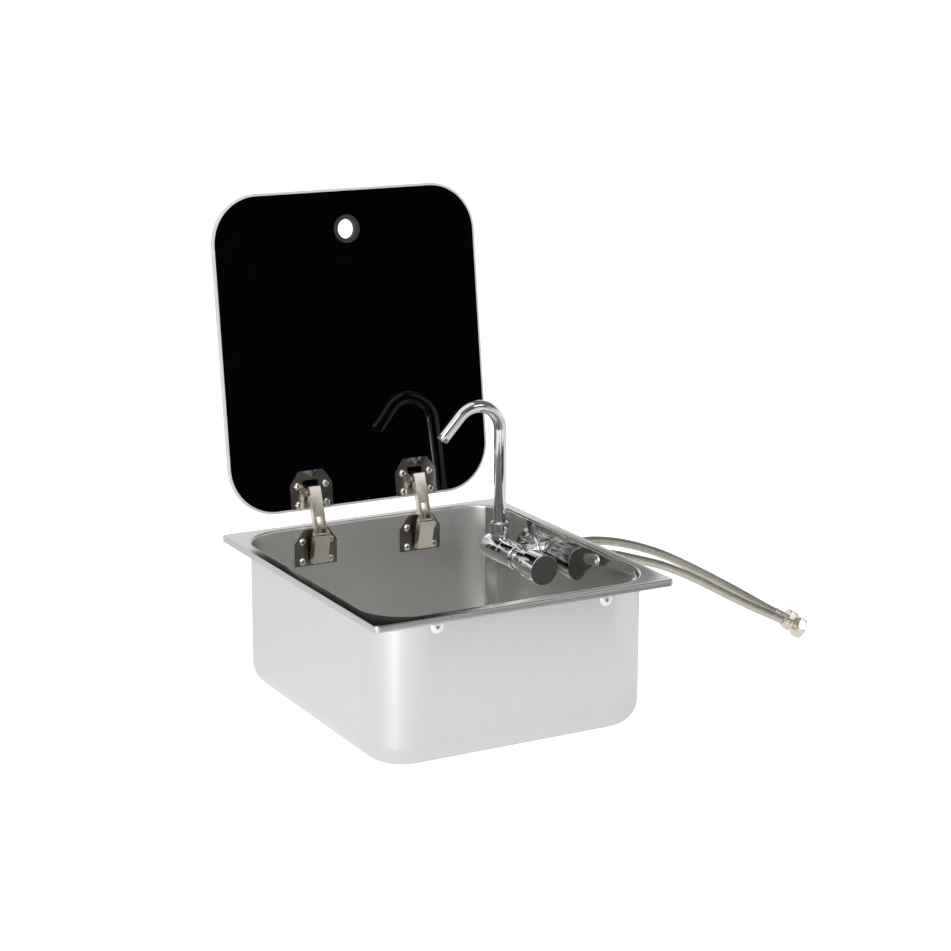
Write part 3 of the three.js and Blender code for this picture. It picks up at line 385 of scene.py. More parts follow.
def skin(tree, grain, dark, light, rough, bump, **kind):
    """What metal and dielectric share: a grain that gives the colour and the relief, in millimetres, on a
    shader with settings of its kind."""
    colour = add(tree, "ValToRGB", {"Fac": grain})
    for element, position, code in zip(colour.color_ramp.elements, NOISE_BAND, (dark, light)):
        element.position, element.color = position, linear(code)
    raised = add(tree, "Bump", {"Height": grain, "Strength": 1.0, "Distance": bump * MM})
    shader = add(tree, "BsdfPrincipled", {"Base Color": colour, "Roughness": rough, "Normal": raised, **kind})
    add(tree, "OutputMaterial", {"Surface": shader})


def metal(name, light, dark, roughness, spread, grain_mm, streak=1.0, bump=0.02, along="Z", cloud_mm=60.0):
    """A bare metal. grain_mm is the width of its finest marks, streak how many times longer they are
    than wide, along the axis they run along, and cloud_mm the size of the slow changes in its polish,
    which swing the roughness by spread."""
    finish, tree = new_finish(name)
    place = add(tree, "TexCoord").outputs["Object"]
    fine = 1.0 / (grain_mm * MM)
    scale = [fine, fine, fine]
    scale["XYZ".index(along)] = fine / streak
    stretched = add(tree, "Mapping", {"Vector": place, "Scale": scale})
    grain = add(tree, "TexNoise", {"Vector": stretched, "Scale": 1.0, "Detail": 3.0, "Roughness": 0.6})
    cloud = add(tree, "TexNoise", {"Vector": place, "Scale": 1.0 / (cloud_mm * MM), "Detail": 2.0})
    rough = add(tree, "MapRange", {"Value": cloud, "To Min": roughness - spread, "To Max": roughness + spread})
    skin(tree, grain, dark, light, rough, bump, Metallic=1.0)
    return finish


def dielectric(name, light, dark, roughness, spread, grain_mm, bump, specular=0.5):
    """A plastic, rubber or glass: a grain of grain_mm, seen in its colour, its polish and its relief."""
    finish, tree = new_finish(name)
    place = add(tree, "TexCoord").outputs["Object"]
    grain = add(tree, "TexNoise", {"Vector": place, "Scale": 1.0 / (grain_mm * MM), "Detail": 4.0})
    rough = add(tree, "MapRange", {"Value": grain, "From Min": NOISE_BAND[0], "From Max": NOISE_BAND[1],
                                   "To Min": roughness - spread, "To Max": roughness + spread})
    skin(tree, grain, dark, light, rough, bump, **{"IOR": 1.5, "Specular IOR Level": specular})
    return finish


# Stainless steel 1.4301 as drawn: a cool satin grey. Its upright draw marks, really 0.1 mm wide, are
# 1.6 mm here, so that they show. A gleam on it spreads wide and has soft edges.
DRAWN_STEEL = metal("drawn_stainless_satin", "#dadad9", "#d6d6d4", 0.32, 0.03, 1.6, streak=40, bump=0.0)
# The same sheet, polished inside: it mirrors softly, with a fine cross-grain, and its colour is painted lighter
# than the outside's, as painted light for the dim inside of the bowl.
POLISHED_STEEL_PAINTED_LIGHT = metal("polished_stainless_painted_light", "#f4f4f2", "#e8e7e4", 0.33, 0.04, 0.9, streak=3, bump=0.012,
                       along="X")
# The same sheet where the tap stands: rubbed brighter, so that the tap shows in it.
MIRROR_STEEL = metal("buffed_stainless_wall", "#dadad7", "#cecdca", 0.11, 0.02, 0.45, streak=3, bump=0.003,
                     along="X")
# The same sheet where a press has stretched it round a screw hole: bare of draw marks, and painted bright as a
# highlight ring where its slope catches the light.
PAINTED_HIGHLIGHT_STEEL = metal("stainless_painted_highlight_ring", "#f6f6f5", "#efefed", 0.34, 0.03, 1.0, bump=0.0)
# The flange, brushed and then buffed: a blurred reflection, drawn out a little along the brushing.
BUFFED_STEEL = metal("buffed_stainless_flange", "#c6c6c5", "#bebebc", 0.19, 0.03, 1.2, streak=20, bump=0.0,
                     along="Y")
# Zinc-nickel plate over stamped steel: a warm, bright grey.
NICKEL_PLATE = metal("bright_nickel_plate", "#ece5da", "#ddd5c9", 0.32, 0.03, 0.8, bump=0.006, cloud_mm=12)
# The same plate on the flat brackets, duller and darker.
DARK_PLATE = metal("dull_nickel_plate", "#96928a", "#7e7a72", 0.22, 0.04, 0.8, bump=0.008, cloud_mm=12)
# Zinc-plated and passivated screws: the brightest metal on the hinges.
BRIGHT_SCREW = metal("bright_zinc_screw", "#f4f2ee", "#e6e3dd", 0.14, 0.04, 0.6, bump=0.004, cloud_mm=6)
# Music wire, drawn hard and oiled: a dark, dull grey.
SPRING_WIRE = metal("oiled_spring_wire", "#8f8e8a", "#74736f", 0.34, 0.06, 0.4, bump=0.01, cloud_mm=8)
# Chrome plate over brass: a hard, cold mirror.
CHROME_PLATE = metal("polished_chrome_plate", "#e0e0e2", "#d8d8db", 0.04, 0.015, 3.0, bump=0.0, cloud_mm=20)
# Nickel plate over turned brass: a warm, pale gloss.
NUT_PLATE = metal("plated_swivel_nut", "#e2ddd2", "#d2ccc0", 0.22, 0.05, 0.7, bump=0.008, cloud_mm=10)
# Bare brass off the lathe: yellow, with fine turning marks.
TURNED_BRASS = metal("turned_brass", "#c2a767", "#ab9050", 0.30, 0.06, 0.5, bump=0.008, cloud_mm=10)
# Toughened float glass printed black: a deep gloss that shows what stands before it only faintly.
BLACK_GLASS = dielectric("black_printed_glass", "#050508", "#030305", 0.03, 0.01, 25.0, 0.0, specular=0.3)
# The same glass where the print stops: a ground arris, pale and a little green.
GROUND_GLASS = dielectric("ground_glass_edge", "#e4eae8", "#d3dbd8", 0.30, 0.08, 0.6, 0.01)
# Moulded rubber: matt and nearly black.
BLACK_RUBBER = dielectric("black_moulded_rubber", "#2d2d31", "#222226", 0.55, 0.08, 0.5, 0.02)
# Moulded ABS with a spark-eroded skin of 0.3 mm grain: dull, and grey in the light.
MATT_ABS = dielectric("matt_black_abs", "#666663", "#5a5a57", 0.45, 0.06, 0.3, 0.015)


STRANDS = 6


def braid_finish():
    """Woven stainless wire. Its strands, really 0.25 mm wide, are drawn 0.84 mm apart, so that they show: six
    to a band, with painted shade in the gaps between them. They follow the tube's own UV map, whose U and V
    count bands round and along the hose."""
    finish, tree = new_finish("woven_stainless_braid")
    apart = add(tree, "SeparateXYZ", {"Vector": add(tree, "UVMap", uv_map="weave")})
    across, along = apart.outputs["X"], apart.outputs["Y"]
    waves = []
    for operation in ("ADD", "SUBTRACT"):
        way = add(tree, "Math", {0: across, 1: along}, operation=operation)
        turn = add(tree, "Math", {0: way, 1: 2 * math.pi * STRANDS}, operation="MULTIPLY")
        waves.append(add(tree, "Math", {0: turn}, operation="SINE"))
    strands = add(tree, "Math", {0: waves[0], 1: waves[1]}, operation="MAXIMUM")
    # The ramp paints shade into the weave: dark in the gaps between the strands, light on their crowns.
    shade = add(tree, "ValToRGB", {"Fac": strands})
    for element, code in zip(shade.color_ramp.elements, ("#858176", "#ebe8dd")):
        element.color = linear(code)
    raised = add(tree, "Bump", {"Height": strands, "Strength": 0.4, "Distance": 0.1 * MM})
    shader = add(tree, "BsdfPrincipled", {"Base Color": shade, "Metallic": 1.0, "Roughness": 0.20,
                                          "Normal": raised})
    add(tree, "OutputMaterial", {"Surface": shader})
    return finish


BRAID = braid_finish()

# ---------- hoses ----------

HOSE = 9.6
HOSE_SPACING = 10.6
EXIT_X = BOWL_HALF[0] + 25.0
BORE_FLOOR = EXIT_X - 14.0
# The weave: its bands each way, how far the tube lies inside the full radius, and how high a band rises.
BANDS = 6
SUNK = 0.16
CROWN = 0.14
FERRULE = 5.4
FERRULE_NECK = 4.2
FERRULE_LENGTH = 15.0
NUT_FLATS = 21.0
NUT_LENGTH = 9.6
NUT_LIP = 2.4
NUT_BORE = 7.5
COLD_ROUTE = [(190, 70, 113), (209.5, 68.1, 109.9), (228.1, 65.3, 106), (246.6, 62.1, 101.9),
              (264.1, 58.7, 96.7), (279.8, 55, 92), (294.9, 51.3, 86.9), (319.3, 44.3, 75.9),
              (343.4, 36.2, 62.8), (366.8, 27.2, 49.1), (389.6, 17.1, 36.5), (406.7, 9.4, 27.8),
              (419.9, 4.2, 20.9)]
HOT_ROUTE = [(190, 82, 115), (205.6, 82.7, 116.4), (222.2, 82.6, 116.2), (240.8, 81.2, 113.9),
             (259.3, 78.6, 110), (280.7, 74.1, 103.5), (305.7, 68, 93.6), (330.9, 61.9, 80.5),
             (355.9, 54.8, 66.2), (380.2, 46.8, 51.7), (403.3, 37.2, 37), (414.7, 32.9, 29.6),
             (425.9, 28.6, 22.8)]


def smooth_route(points, step):
    """A centripetal Catmull-Rom curve through points, then spread evenly: knots lie the square root of
    each chord apart, and each stretch blends its four neighbours by the Barry-Goldman pyramid."""
    p = np.asarray(points, float)
    p = np.concatenate([[2 * p[0] - p[1]], p, [2 * p[-1] - p[-2]]])
    knots = np.concatenate([[0.0], np.cumsum(np.sqrt(np.linalg.norm(np.diff(p, axis=0), axis=1)))])
    out = []
    for i in range(1, len(p) - 2):
        t = np.linspace(knots[i], knots[i + 1], 40, endpoint=i == len(p) - 3)[:, None]
        t0, t1, t2, t3 = knots[i - 1:i + 3]
        a1 = (t1 - t) / (t1 - t0) * p[i - 1] + (t - t0) / (t1 - t0) * p[i]
        a2 = (t2 - t) / (t2 - t1) * p[i] + (t - t1) / (t2 - t1) * p[i + 1]
        a3 = (t3 - t) / (t3 - t2) * p[i + 1] + (t - t2) / (t3 - t2) * p[i + 2]
        b1 = (t2 - t) / (t2 - t0) * a1 + (t - t0) / (t2 - t0) * a2
        b2 = (t3 - t) / (t3 - t1) * a2 + (t - t1) / (t3 - t1) * a3
        out.append((t2 - t) / (t2 - t1) * b1 + (t - t1) / (t2 - t1) * b2)
    line = np.concatenate(out)
    run = np.concatenate([[0.0], np.cumsum(np.linalg.norm(np.diff(line, axis=0), axis=1))])
    even = np.linspace(0.0, run[-1], max(int(run[-1] / step), 2))
    return np.stack([np.interp(even, run, line[:, k]) for k in range(3)], -1), run[-1]


def hose(name, offset, route):
    """A braided hose, a tube of radius r - 0.16 + 0.14 (|cos 6(a + s/r)| + |cos 6(a - s/r)| - 1) at the
    angle a and the length s along it: two sets of six bands, which cross at 45 degrees to its run."""
    y = SHANK_Y + offset
    line, length = smooth_route([(BORE_FLOOR + 0.3, y, TAP_Z), (EXIT_X, y, TAP_Z), *route], 0.7)
    sides = 72
    angle = np.linspace(0.0, 2 * math.pi, sides, endpoint=False)[None, :]
    run = np.linspace(0.0, length, len(line))[:, None] / (HOSE / 2)
    weave = np.abs(np.cos(BANDS * (angle + run))) + np.abs(np.cos(BANDS * (angle - run))) - 1.0
    part = tube(line, HOSE / 2 - SUNK + CROWN * weave, sides)
    mesh = part_mesh(f"{name}_braid", part)
    weave_map = mesh.uv_layers.new(name="weave")
    rows = len(part[1]) // sides
    column = np.tile([0, 1, 1, 0], rows * sides) + np.repeat(np.tile(np.arange(sides), rows), 4)
    row = np.tile([0, 0, 1, 1], rows * sides) + np.repeat(np.repeat(np.arange(rows), sides), 4)
    row_length = length / (len(line) - 1)
    uv = np.stack([column / sides * BANDS, row * row_length / (math.pi * HOSE) * BANDS], -1)
    weave_map.data.foreach_set("uv", uv.ravel())
    piece = finish_object(f"{name}_braid", mesh, BRAID, "sink", [f"{name}_hose"], smooth=180.0)
    pieces = hose_end(name, line[-1], unit(line[-1] - line[-3]))


def hexagon(flats, height, hole):
    """A hexagonal nut with a hole of (radius, height) pairs: at each angle and height its outside is the
    lesser of the hexagon's reach and the reach of the cones that chamfer its corners."""
    angle = np.linspace(0.0, 2 * math.pi, 96, endpoint=False)
    flat_reach = flats / 2 / np.cos((angle + math.pi / 6) % (math.pi / 3) - math.pi / 6)
    across = flats / math.sqrt(3)
    heights = np.array([0.0, 0.35, 0.8, 1.4, height - 1.4, height - 0.8, height - 0.35, height])
    cone = across * (0.86 + 0.1225 * np.minimum(heights, height - heights))
    reach = np.minimum(flat_reach[None, :], cone[:, None])
    rings = np.stack([reach * np.cos(angle), reach * np.sin(angle), heights[:, None] + 0 * angle], -1)
    wells = [np.stack([r * np.cos(angle), r * np.sin(angle), 0 * angle + z], -1) for r, z in hole]
    return grid_part(np.concatenate([rings, np.array(wells)]), True)


def hose_end(name, end, outward):
    """The crimped ferrule and its captive swivel nut, turned from Z to the hose's own direction."""
    side = unit(np.cross((0, 0, 1), outward))
    turn = np.column_stack([side, np.cross(outward, side), outward])
    f, pressed, neck = FERRULE, FERRULE - 0.5, FERRULE_NECK
    top = 0.3 + FERRULE_LENGTH
    collar = top + NUT_LIP + 0.3
    crimp = [(f, 1.0), (f, 2.2), (pressed, 2.8), (pressed, 4.6), (f, 5.2), (f, 7.2), (pressed, 7.8),
             (pressed, 9.6), (f, 10.2), (f, top - 4)]
    ferrule = softened([(0, 0.3), (f - 0.6, 0.3), *crimp, (neck, top - 3), (neck, collar), (7.2, collar),
                        (7.2, collar + 2), (3.4, collar + 2), (3.4, collar - 6), (0, collar - 6)], 0.3)
    bore = [(NUT_BORE + 0.4, NUT_LENGTH), (NUT_BORE, NUT_LENGTH - 0.5), (NUT_BORE, NUT_LIP),
            (neck + 0.3, NUT_LIP), (neck + 0.3, 0.3), (neck + 0.6, 0.0)]
    nut = hexagon(NUT_FLATS, NUT_LENGTH, bore)
    return [make(f"{name}_ferrule", moved(turned(ferrule), turn, end), NUT_PLATE, "sink",
                 [f"{name}_hose_ferrule"]),
            make(f"{name}_nut", moved(nut, turn @ QUARTER_TURN, end + outward * top), NUT_PLATE, "sink",
                 [f"{name}_hose_nut"])]


hose("cold", -HOSE_SPACING / 2, COLD_ROUTE)
hose("hot", HOSE_SPACING / 2, HOT_ROUTE)

# ---------- bowl ----------


def bend(out, height, radius, start, stop, steps):
    """Quarter bend of a section: (out + r cos a, height + r sin a) from start to stop degrees."""
    angle = np.radians(np.linspace(start, stop, steps))
    return np.stack([out + radius * np.cos(angle), height + radius * np.sin(angle)], -1)


def bowl_rings():
    """The sheet's section carried round its plan. Each ring is a rounded rectangle that stands an offset
    out from the wall, or in from the flange's edge, at its own height."""
    steps = 22

    def ring(half, corner, out, z):
        flat = rounded_rectangle(half[0] + out, half[1] + out, corner + out, steps)
        return np.column_stack([flat, np.full(4 * steps, z)])

    def wall(section):
        return [ring(BOWL_HALF, BOWL_CORNER, out, z) for out, z in section]

    def rim(section):
        return [ring(RIM_HALF, RIM_CORNER, out, z) for out, z in section]

    top = RIM_Z - SHEET - RIM_BEND
    edge = RIM_Z - LIP_BEND - SHEET
    foot = RIM_Z - LIP_HEIGHT
    inside = wall(np.concatenate([bend(-BASE_RADIUS, BASE_RADIUS, BASE_RADIUS - SHEET, -90, 0, 14),
                                  bend(RIM_BEND, top, RIM_BEND + SHEET, 180, 90, 9)]))
    lip = rim(np.concatenate([bend(-LIP_BEND - SHEET, edge, LIP_BEND + SHEET, 90, 0, 7),
                              [(0.0, foot + 0.2), (-0.2, foot), (0.2 - SHEET, foot), (-SHEET, foot + 0.2)],
                              bend(-LIP_BEND - SHEET, edge, LIP_BEND, 0, 90, 5)]))
    outside = wall(np.concatenate([bend(RIM_BEND, top, RIM_BEND, 90, 180, 7),
                                   bend(-BASE_RADIUS, BASE_RADIUS, BASE_RADIUS, 0, -90, 14)]))
    middle = [np.tile((0.0, 0.0, z), (4 * steps, 1)) for z in (SHEET, 0.0)]
    return np.array([middle[0], *inside, *lip, *outside, middle[1]])


def dish(outside):
    """A fixing hole's pressed countersink, its axis along Z with the wall's inner face at 0."""
    if outside:
        return turned(softened([(0, 0.1), (6.7, 0.1), (6.7, SHEET), (6.2, SHEET + 0.5), (5.5, SHEET + 0.5),
                                (3.2, SHEET + 1.5), (0, SHEET + 1.5)], 0.25), 56)
    return turned([(0, -1), (5.6, -1), (5.6, 0), (5.2, 0.1), (2.4, 1.5), (1.8, 1.8), (1.8, 5), (0, 5)], 56)


def sink_shell():
    """The bowl, its countersinks and holes; each face gets the finish of its side of the sheet, with painted
    light inside and a painted highlight ring round each outer fixing.
    """
    places = [(AGAINST_Y, (side * FRONT_FIXING_X, -WALL_Y, FRONT_FIXING_Z)) for side in (-1, 1)]
    places += [(ALONG_X, (WALL_X, y, SIDE_FIXING_Z)) for y in SIDE_FIXING_Y]
    raised, sunk = (merged(*[moved(dish(outside), turn, spot) for turn, spot in places])
                    for outside in (True, False))
    shank_hole = moved(turned(block(0, SHANK_HOLE, -6, 6), 64), ALONG_X, (WALL_X, SHANK_Y, TAP_Z))
    drain_hole = moved(turned(block(0, DRAIN_NECK, -5, 5), 64), None, (0, DRAIN_Y, 0))
    mesh = carved(grid_part(bowl_rings()), ("UNION", raised), ("DIFFERENCE", sunk),
                  ("DIFFERENCE", merged(shank_hole, drain_hole)))
    for finish in (POLISHED_STEEL_PAINTED_LIGHT, BUFFED_STEEL, DRAWN_STEEL, MIRROR_STEEL, PAINTED_HIGHLIGHT_STEEL):
        mesh.materials.append(finish)
    centres = face_values(mesh, "center") / MM
    x, y, z = centres.T
    reach = corner_reach(x, y, BOWL_HALF, BOWL_CORNER)
    away = (face_values(mesh, "normal") * np.column_stack([x, y, 0 * z])).sum(1)
    is_flange = (z > RIM_Z - LIP_HEIGHT - 1) & (reach > BOWL_CORNER + 0.4)
    is_floor = np.abs(z - SHEET) < 0.05
    is_inner = ((away < 0) | is_floor) & ~is_flange & (z > 0.3)
    # Inside faces take the polished steel with its painted light; near the tap's wall, the rubbed steel.
    index = np.where(is_flange, 1, np.where(is_inner, np.where(x > WALL_X - MIRROR_DEPTH, 3, 0), 2))
    # Outer faces round each fixing get the painted highlight ring.
    for _, spot in places:
        near = np.linalg.norm(centres - spot, axis=1) < HIGHLIGHT_RING_RADIUS
        index = np.where(near & ~is_inner & ~is_flange, 4, index)
    mesh.polygons.foreach_set("material_index", index.astype(np.int32))
    finish_object("sink_shell", mesh, None, "sink", ["sink_bowl"], smooth=22.0)


sink_shell()


def drain():
    """The rubber ring between the floor and the drain, and the pressed grid with its round holes."""
    gasket = turned(block(DRAIN_NECK + 0.3, DRAIN_FLANGE, 0.9, 1.8), 96, closed=True)
    make("drain_seal", moved(gasket, None, (0, DRAIN_Y, 0)), BLACK_RUBBER, "sink", ["drain_gasket"])
    neck, seat = DRAIN_NECK - 0.3, 1.9
    plate = turned(softened([(0, seat - 1), (21.7, seat - 1), (22.5, 0.3), (neck, 0.3), (neck, seat),
                             (DRAIN_FLANGE, seat), (DRAIN_FLANGE, seat + 0.6), (neck, seat + 1.6),
                             (20.7, seat + 0.4), (0, seat + 0.2)], 0.4), 96)
    hole = turned(block(0, 4.5, -4, 6), 32)
    holes = [moved(hole, None, (DRAIN_HOLE_RING * math.cos(a), DRAIN_HOLE_RING * math.sin(a), 0))
             for a in np.radians(np.arange(DRAIN_HOLES) * 360.0 / DRAIN_HOLES)]
    mesh = carved(plate, ("DIFFERENCE", merged(*holes)))
    mesh.transform(Matrix.Translation((0, DRAIN_Y * MM, 0)))
    finish_object("drain_grid", mesh, BUFFED_STEEL, "sink", ["drain_flange"], smooth=25.0)


drain()

# ---------- lid ----------

# From the lid's own frame (x, off the glass, up the glass) to the row's frame.
LID_TURN = np.array([[1, 0, 0], [0, math.cos(LEAN), math.sin(LEAN)], [0, -math.sin(LEAN), math.cos(LEAN)]])


def on_lid(part):
    return moved(part, LID_TURN, LID_BASE)


def lid_pane():
    """Glass: a rounded rectangle through its thickness, drawn in at each face by a ground arris. One more
    ring, PRINT_EDGE in from the edge, is where the black print begins."""
    steps = 26
    arris = 0.8

    def ring(inset, depth):
        flat = rounded_rectangle(GLASS_HALF - inset, GLASS_HEIGHT / 2 - inset, GLASS_CORNER - inset, steps)
        return np.column_stack([flat[:, 0], np.full(len(flat), depth), flat[:, 1] + GLASS_HEIGHT / 2])

    centre = [np.tile((0.0, depth, GLASS_HEIGHT / 2), (4 * steps, 1)) for depth in (0.0, GLASS)]
    rings = np.array([centre[0], ring(PRINT_EDGE, 0.0), ring(arris, 0.0), ring(0.0, arris),
                      ring(0.0, GLASS - arris), ring(arris, GLASS), ring(PRINT_EDGE, GLASS), centre[1]])
    finger = moved(turned(block(0, FINGER_HOLE, -4, 12), 64), ALONG_Y, (0, 0, FINGER_U))
    mesh = carved(grid_part(rings), ("DIFFERENCE", finger))
    mesh.transform(Matrix.Translation([c * MM for c in LID_BASE]) @ Matrix(LID_TURN.tolist()).to_4x4())
    mesh.materials.append(BLACK_GLASS)
    mesh.materials.append(GROUND_GLASS)
    local = (face_values(mesh, "center") / MM - LID_BASE) @ LID_TURN
    half = (GLASS_HALF, GLASS_HEIGHT / 2)
    reach = corner_reach(local[:, 0], local[:, 2] - half[1], half, GLASS_CORNER)
    edge = reach > GLASS_CORNER - PRINT_EDGE + 0.1
    mesh.polygons.foreach_set("material_index", edge.astype(np.int32))
    finish_object("lid_pane", mesh, None, "lid", ["lid_glass"], smooth=20.0)


lid_pane()


def grommet():
    """Rubber ring: its section, a bore, a sleeve and two round flanges, carried round the finger hole."""
    bore, sleeve, flange = 10.2, 12.6, 14.6
    near, far = -0.1, GLASS + 0.1
    section = softened([(bore, near - 1.5), (flange, near - 1.5), (flange, near), (sleeve, near), (sleeve, far),
                        (flange, far), (flange, far + 1.5), (bore, far + 1.5)], 0.7, closed=True)
    ring = moved(turned(section, 72, closed=True), ALONG_Y, (0, 0, FINGER_U))
    make("finger_ring", on_lid(ring), BLACK_RUBBER, "lid", ["finger_grommet"], smooth=40.0)


grommet()

# ---------- hinges ----------


def stamped(name, body, finish, width):
    """A pressed piece from its CAD solid: flat faces joined again, and each edge broken by width."""
    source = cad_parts[name]
    mesh = source.data.copy()
    mesh.materials.clear()
    mesh.transform(source.matrix_world)
    tidy = bmesh.new()
    tidy.from_mesh(mesh)
    bmesh.ops.remove_doubles(tidy, verts=tidy.verts, dist=2e-6)
    bmesh.ops.dissolve_limit(tidy, angle_limit=math.radians(1.0), verts=tidy.verts, edges=tidy.edges)
    tidy.to_mesh(mesh)
    tidy.free()
    finish_object(f"{name}_pressed", mesh, finish, body, [name], smooth=40.0, bevel=width)


def rivet_part(at, half):
    """A pin with domed heads: radius against length, carried round X."""
    reach = half + 0.1
    dome = [(0.0, reach + 0.8), (1.0, reach + 0.75), (1.7, reach + 0.5), (2.1, reach + 0.15), (2.1, reach),
            (1.2, reach)]
    profile = dome + [(r, -h) for r, h in dome[::-1]]
    return moved(turned(profile, 28), ALONG_X, at)


def screw_master():
    """A pan head with a cross recess, its axis along Z and its seat at 0, facing down."""
    head = turned(softened([(0, -2.4), (2.4, -2.4), (4.0, -0.9), (4.0, 0), (1.8, 0), (1.8, 1.2), (0, 1.2)],
                           0.5), 32)
    arms = []
    for wide, deep in ((0.45, 1.9), (1.9, 0.45)):
        square = np.array([(-wide, -deep), (wide, -deep), (wide, deep), (-wide, deep)])
        levels = [(0.0, -3.0), (1.0, -3.0), (0.45, -1.2), (0.0, -1.2)]
        arms.append(grid_part(np.array([np.column_stack([square * k, np.full(4, z)]) for k, z in levels])))
    mesh = carved(head, ("DIFFERENCE", arms[0]), ("DIFFERENCE", arms[1]))
    mesh.calc_loop_triangles()
    points = np.empty(len(mesh.vertices) * 3)
    mesh.vertices.foreach_get("co", points)
    faces = np.empty(len(mesh.loop_triangles) * 3, np.int32)
    mesh.loop_triangles.foreach_get("vertices", faces)
    return points.reshape(-1, 3) / MM, faces.reshape(-1, 3)


SCREW = screw_master()


def triangles(part):
    """Quads split into triangles, so that parts with either can be merged."""
    points, faces = part
    return points, np.concatenate([faces[:, [0, 1, 2]], faces[:, [0, 2, 3]]])


def turned_screw(angle):
    """The screw with its cross at an angle, laid along Y."""
    cos, sin = math.cos(angle), math.sin(angle)
    about = np.array([[cos, -sin, 0], [sin, cos, 0], [0, 0, 1]])
    return moved(SCREW, np.array(ALONG_Y, float) @ about)


def screws():
    """A cross-recess screw at every hole of the wall brackets and lid plates, each turned its own way, with a
    nut behind the wall and a disc behind the glass."""
    spins = np.random.default_rng(7).uniform(0, math.pi / 2, 16).reshape(2, 2, 4)
    nut = moved(triangles(turned(softened(block(0, 3.5, 2.3, 4.9), 0.4), 28)), ALONG_Y)
    disc = moved(triangles(turned(softened(block(0, 4.5, 6.5, 7.4), 0.4), 28)), ALONG_Y)
    for side, name, (wall_spins, lid_spins) in zip((-1, 1), ("left", "right"), spins):
        wall, lid = [], []
        for i in range(4):
            x = side * HINGE_X + (-1 if i < 2 else 1) * SCREW_X
            at = (x, WALL_Y - STAMPING - 0.2, WALL_SCREW_Z[i % 2])
            wall += [moved(turned_screw(wall_spins[i]), None, at), moved(nut, None, at)]
            at = (x + LID_PLATE_SHIFT, -STAMPING - 0.2, LID_SCREW_U[i % 2])
            lid += [on_lid(moved(turned_screw(lid_spins[i]), None, at)), on_lid(moved(disc, None, at))]
        for place, part, body in (("wall", wall, "sink"), ("lid", lid, "lid")):
            make(f"{name}_{place}_screws", merged(*part), BRIGHT_SCREW, body,
                 [f"{name}_{place}_screw_{number}" for number in range(1, 5)])


def coil(name, x):
    """Torsion spring: a helix round the lower pin, with a leg up behind the arm and one down by the bracket."""
    along = unit(np.subtract(PIVOT_KNEE, PIVOT_LOWER))
    front = np.array([-along[1], along[0]])
    begin = math.atan2(front[1], front[0])
    turn = np.linspace(0.0, 4 * math.pi, 97)
    # The first turn lies just inside the bracket's left cheek.
    start_x = STAMPING - BRACKET_HALF + SPRING_WIRE_RADIUS + 0.3
    helix = np.column_stack([x + start_x + SPRING_PITCH * turn / (2 * math.pi),
                             PIVOT_LOWER[0] + SPRING_RADIUS * np.cos(begin - turn),
                             PIVOT_LOWER[1] + SPRING_RADIUS * np.sin(begin - turn)])
    leg = helix[0] + np.linspace(8.0, 0.4, 8)[:, None] * np.array([0.0, along[0], along[1]])
    tail = helix[-1] + np.linspace(0.4, 5.0, 6)[:, None] * np.array([0.0, 0.08, 1.0])
    line, _ = smooth_route(np.concatenate([leg, helix, tail]), 0.25)
    make(f"{name}_coil", tube(line, SPRING_WIRE_RADIUS, 14), SPRING_WIRE, "sink", [f"{name}_hinge_spring"],
         smooth=60.0)


STAMPINGS = [("lower_plate", "sink", DARK_PLATE, 0.2), ("lower_arm", "hinge_lower_arms", NICKEL_PLATE, 0.3),
             ("upper_arm", "hinge_upper_arms", NICKEL_PLATE, 0.25),
             ("spring_strut", "hinge_upper_arms", NICKEL_PLATE, 0.15),
             ("inner_link", "inner_links", NICKEL_PLATE, 0.15), ("upper_plate", "lid", DARK_PLATE, 0.2)]
# Each pin: its name, place, half length and body.
PINS = [("lower", PIVOT_LOWER, 8.4, "sink"), ("knee", PIVOT_KNEE, 8.4, "hinge_lower_arms"),
        ("upper", PIVOT_UPPER, 8.1, "lid")]


def hinges():
    """Both hinges: their pressings, pins and springs, and then all the screws."""
    for side, x in (("left", -HINGE_X), ("right", HINGE_X)):
        for name, body, finish, edge in STAMPINGS:
            stamped(f"{side}_{name}", body, finish, edge)
        for pin, pivot, half, body in PINS:
            make(f"{side}_{pin}_rivet", rivet_part((x, *pivot), half), NICKEL_PLATE, body,
                 [f"{side}_{pin}_pin"], smooth=35.0)
        coil(side, x)
    screws()


hinges()

# ---------- tap ----------


def on_tap(part):
    """From a part's own Z axis to the tap's, which runs along Y."""
    return moved(part, ALONG_Y, (TAP_X, 0, TAP_Z))


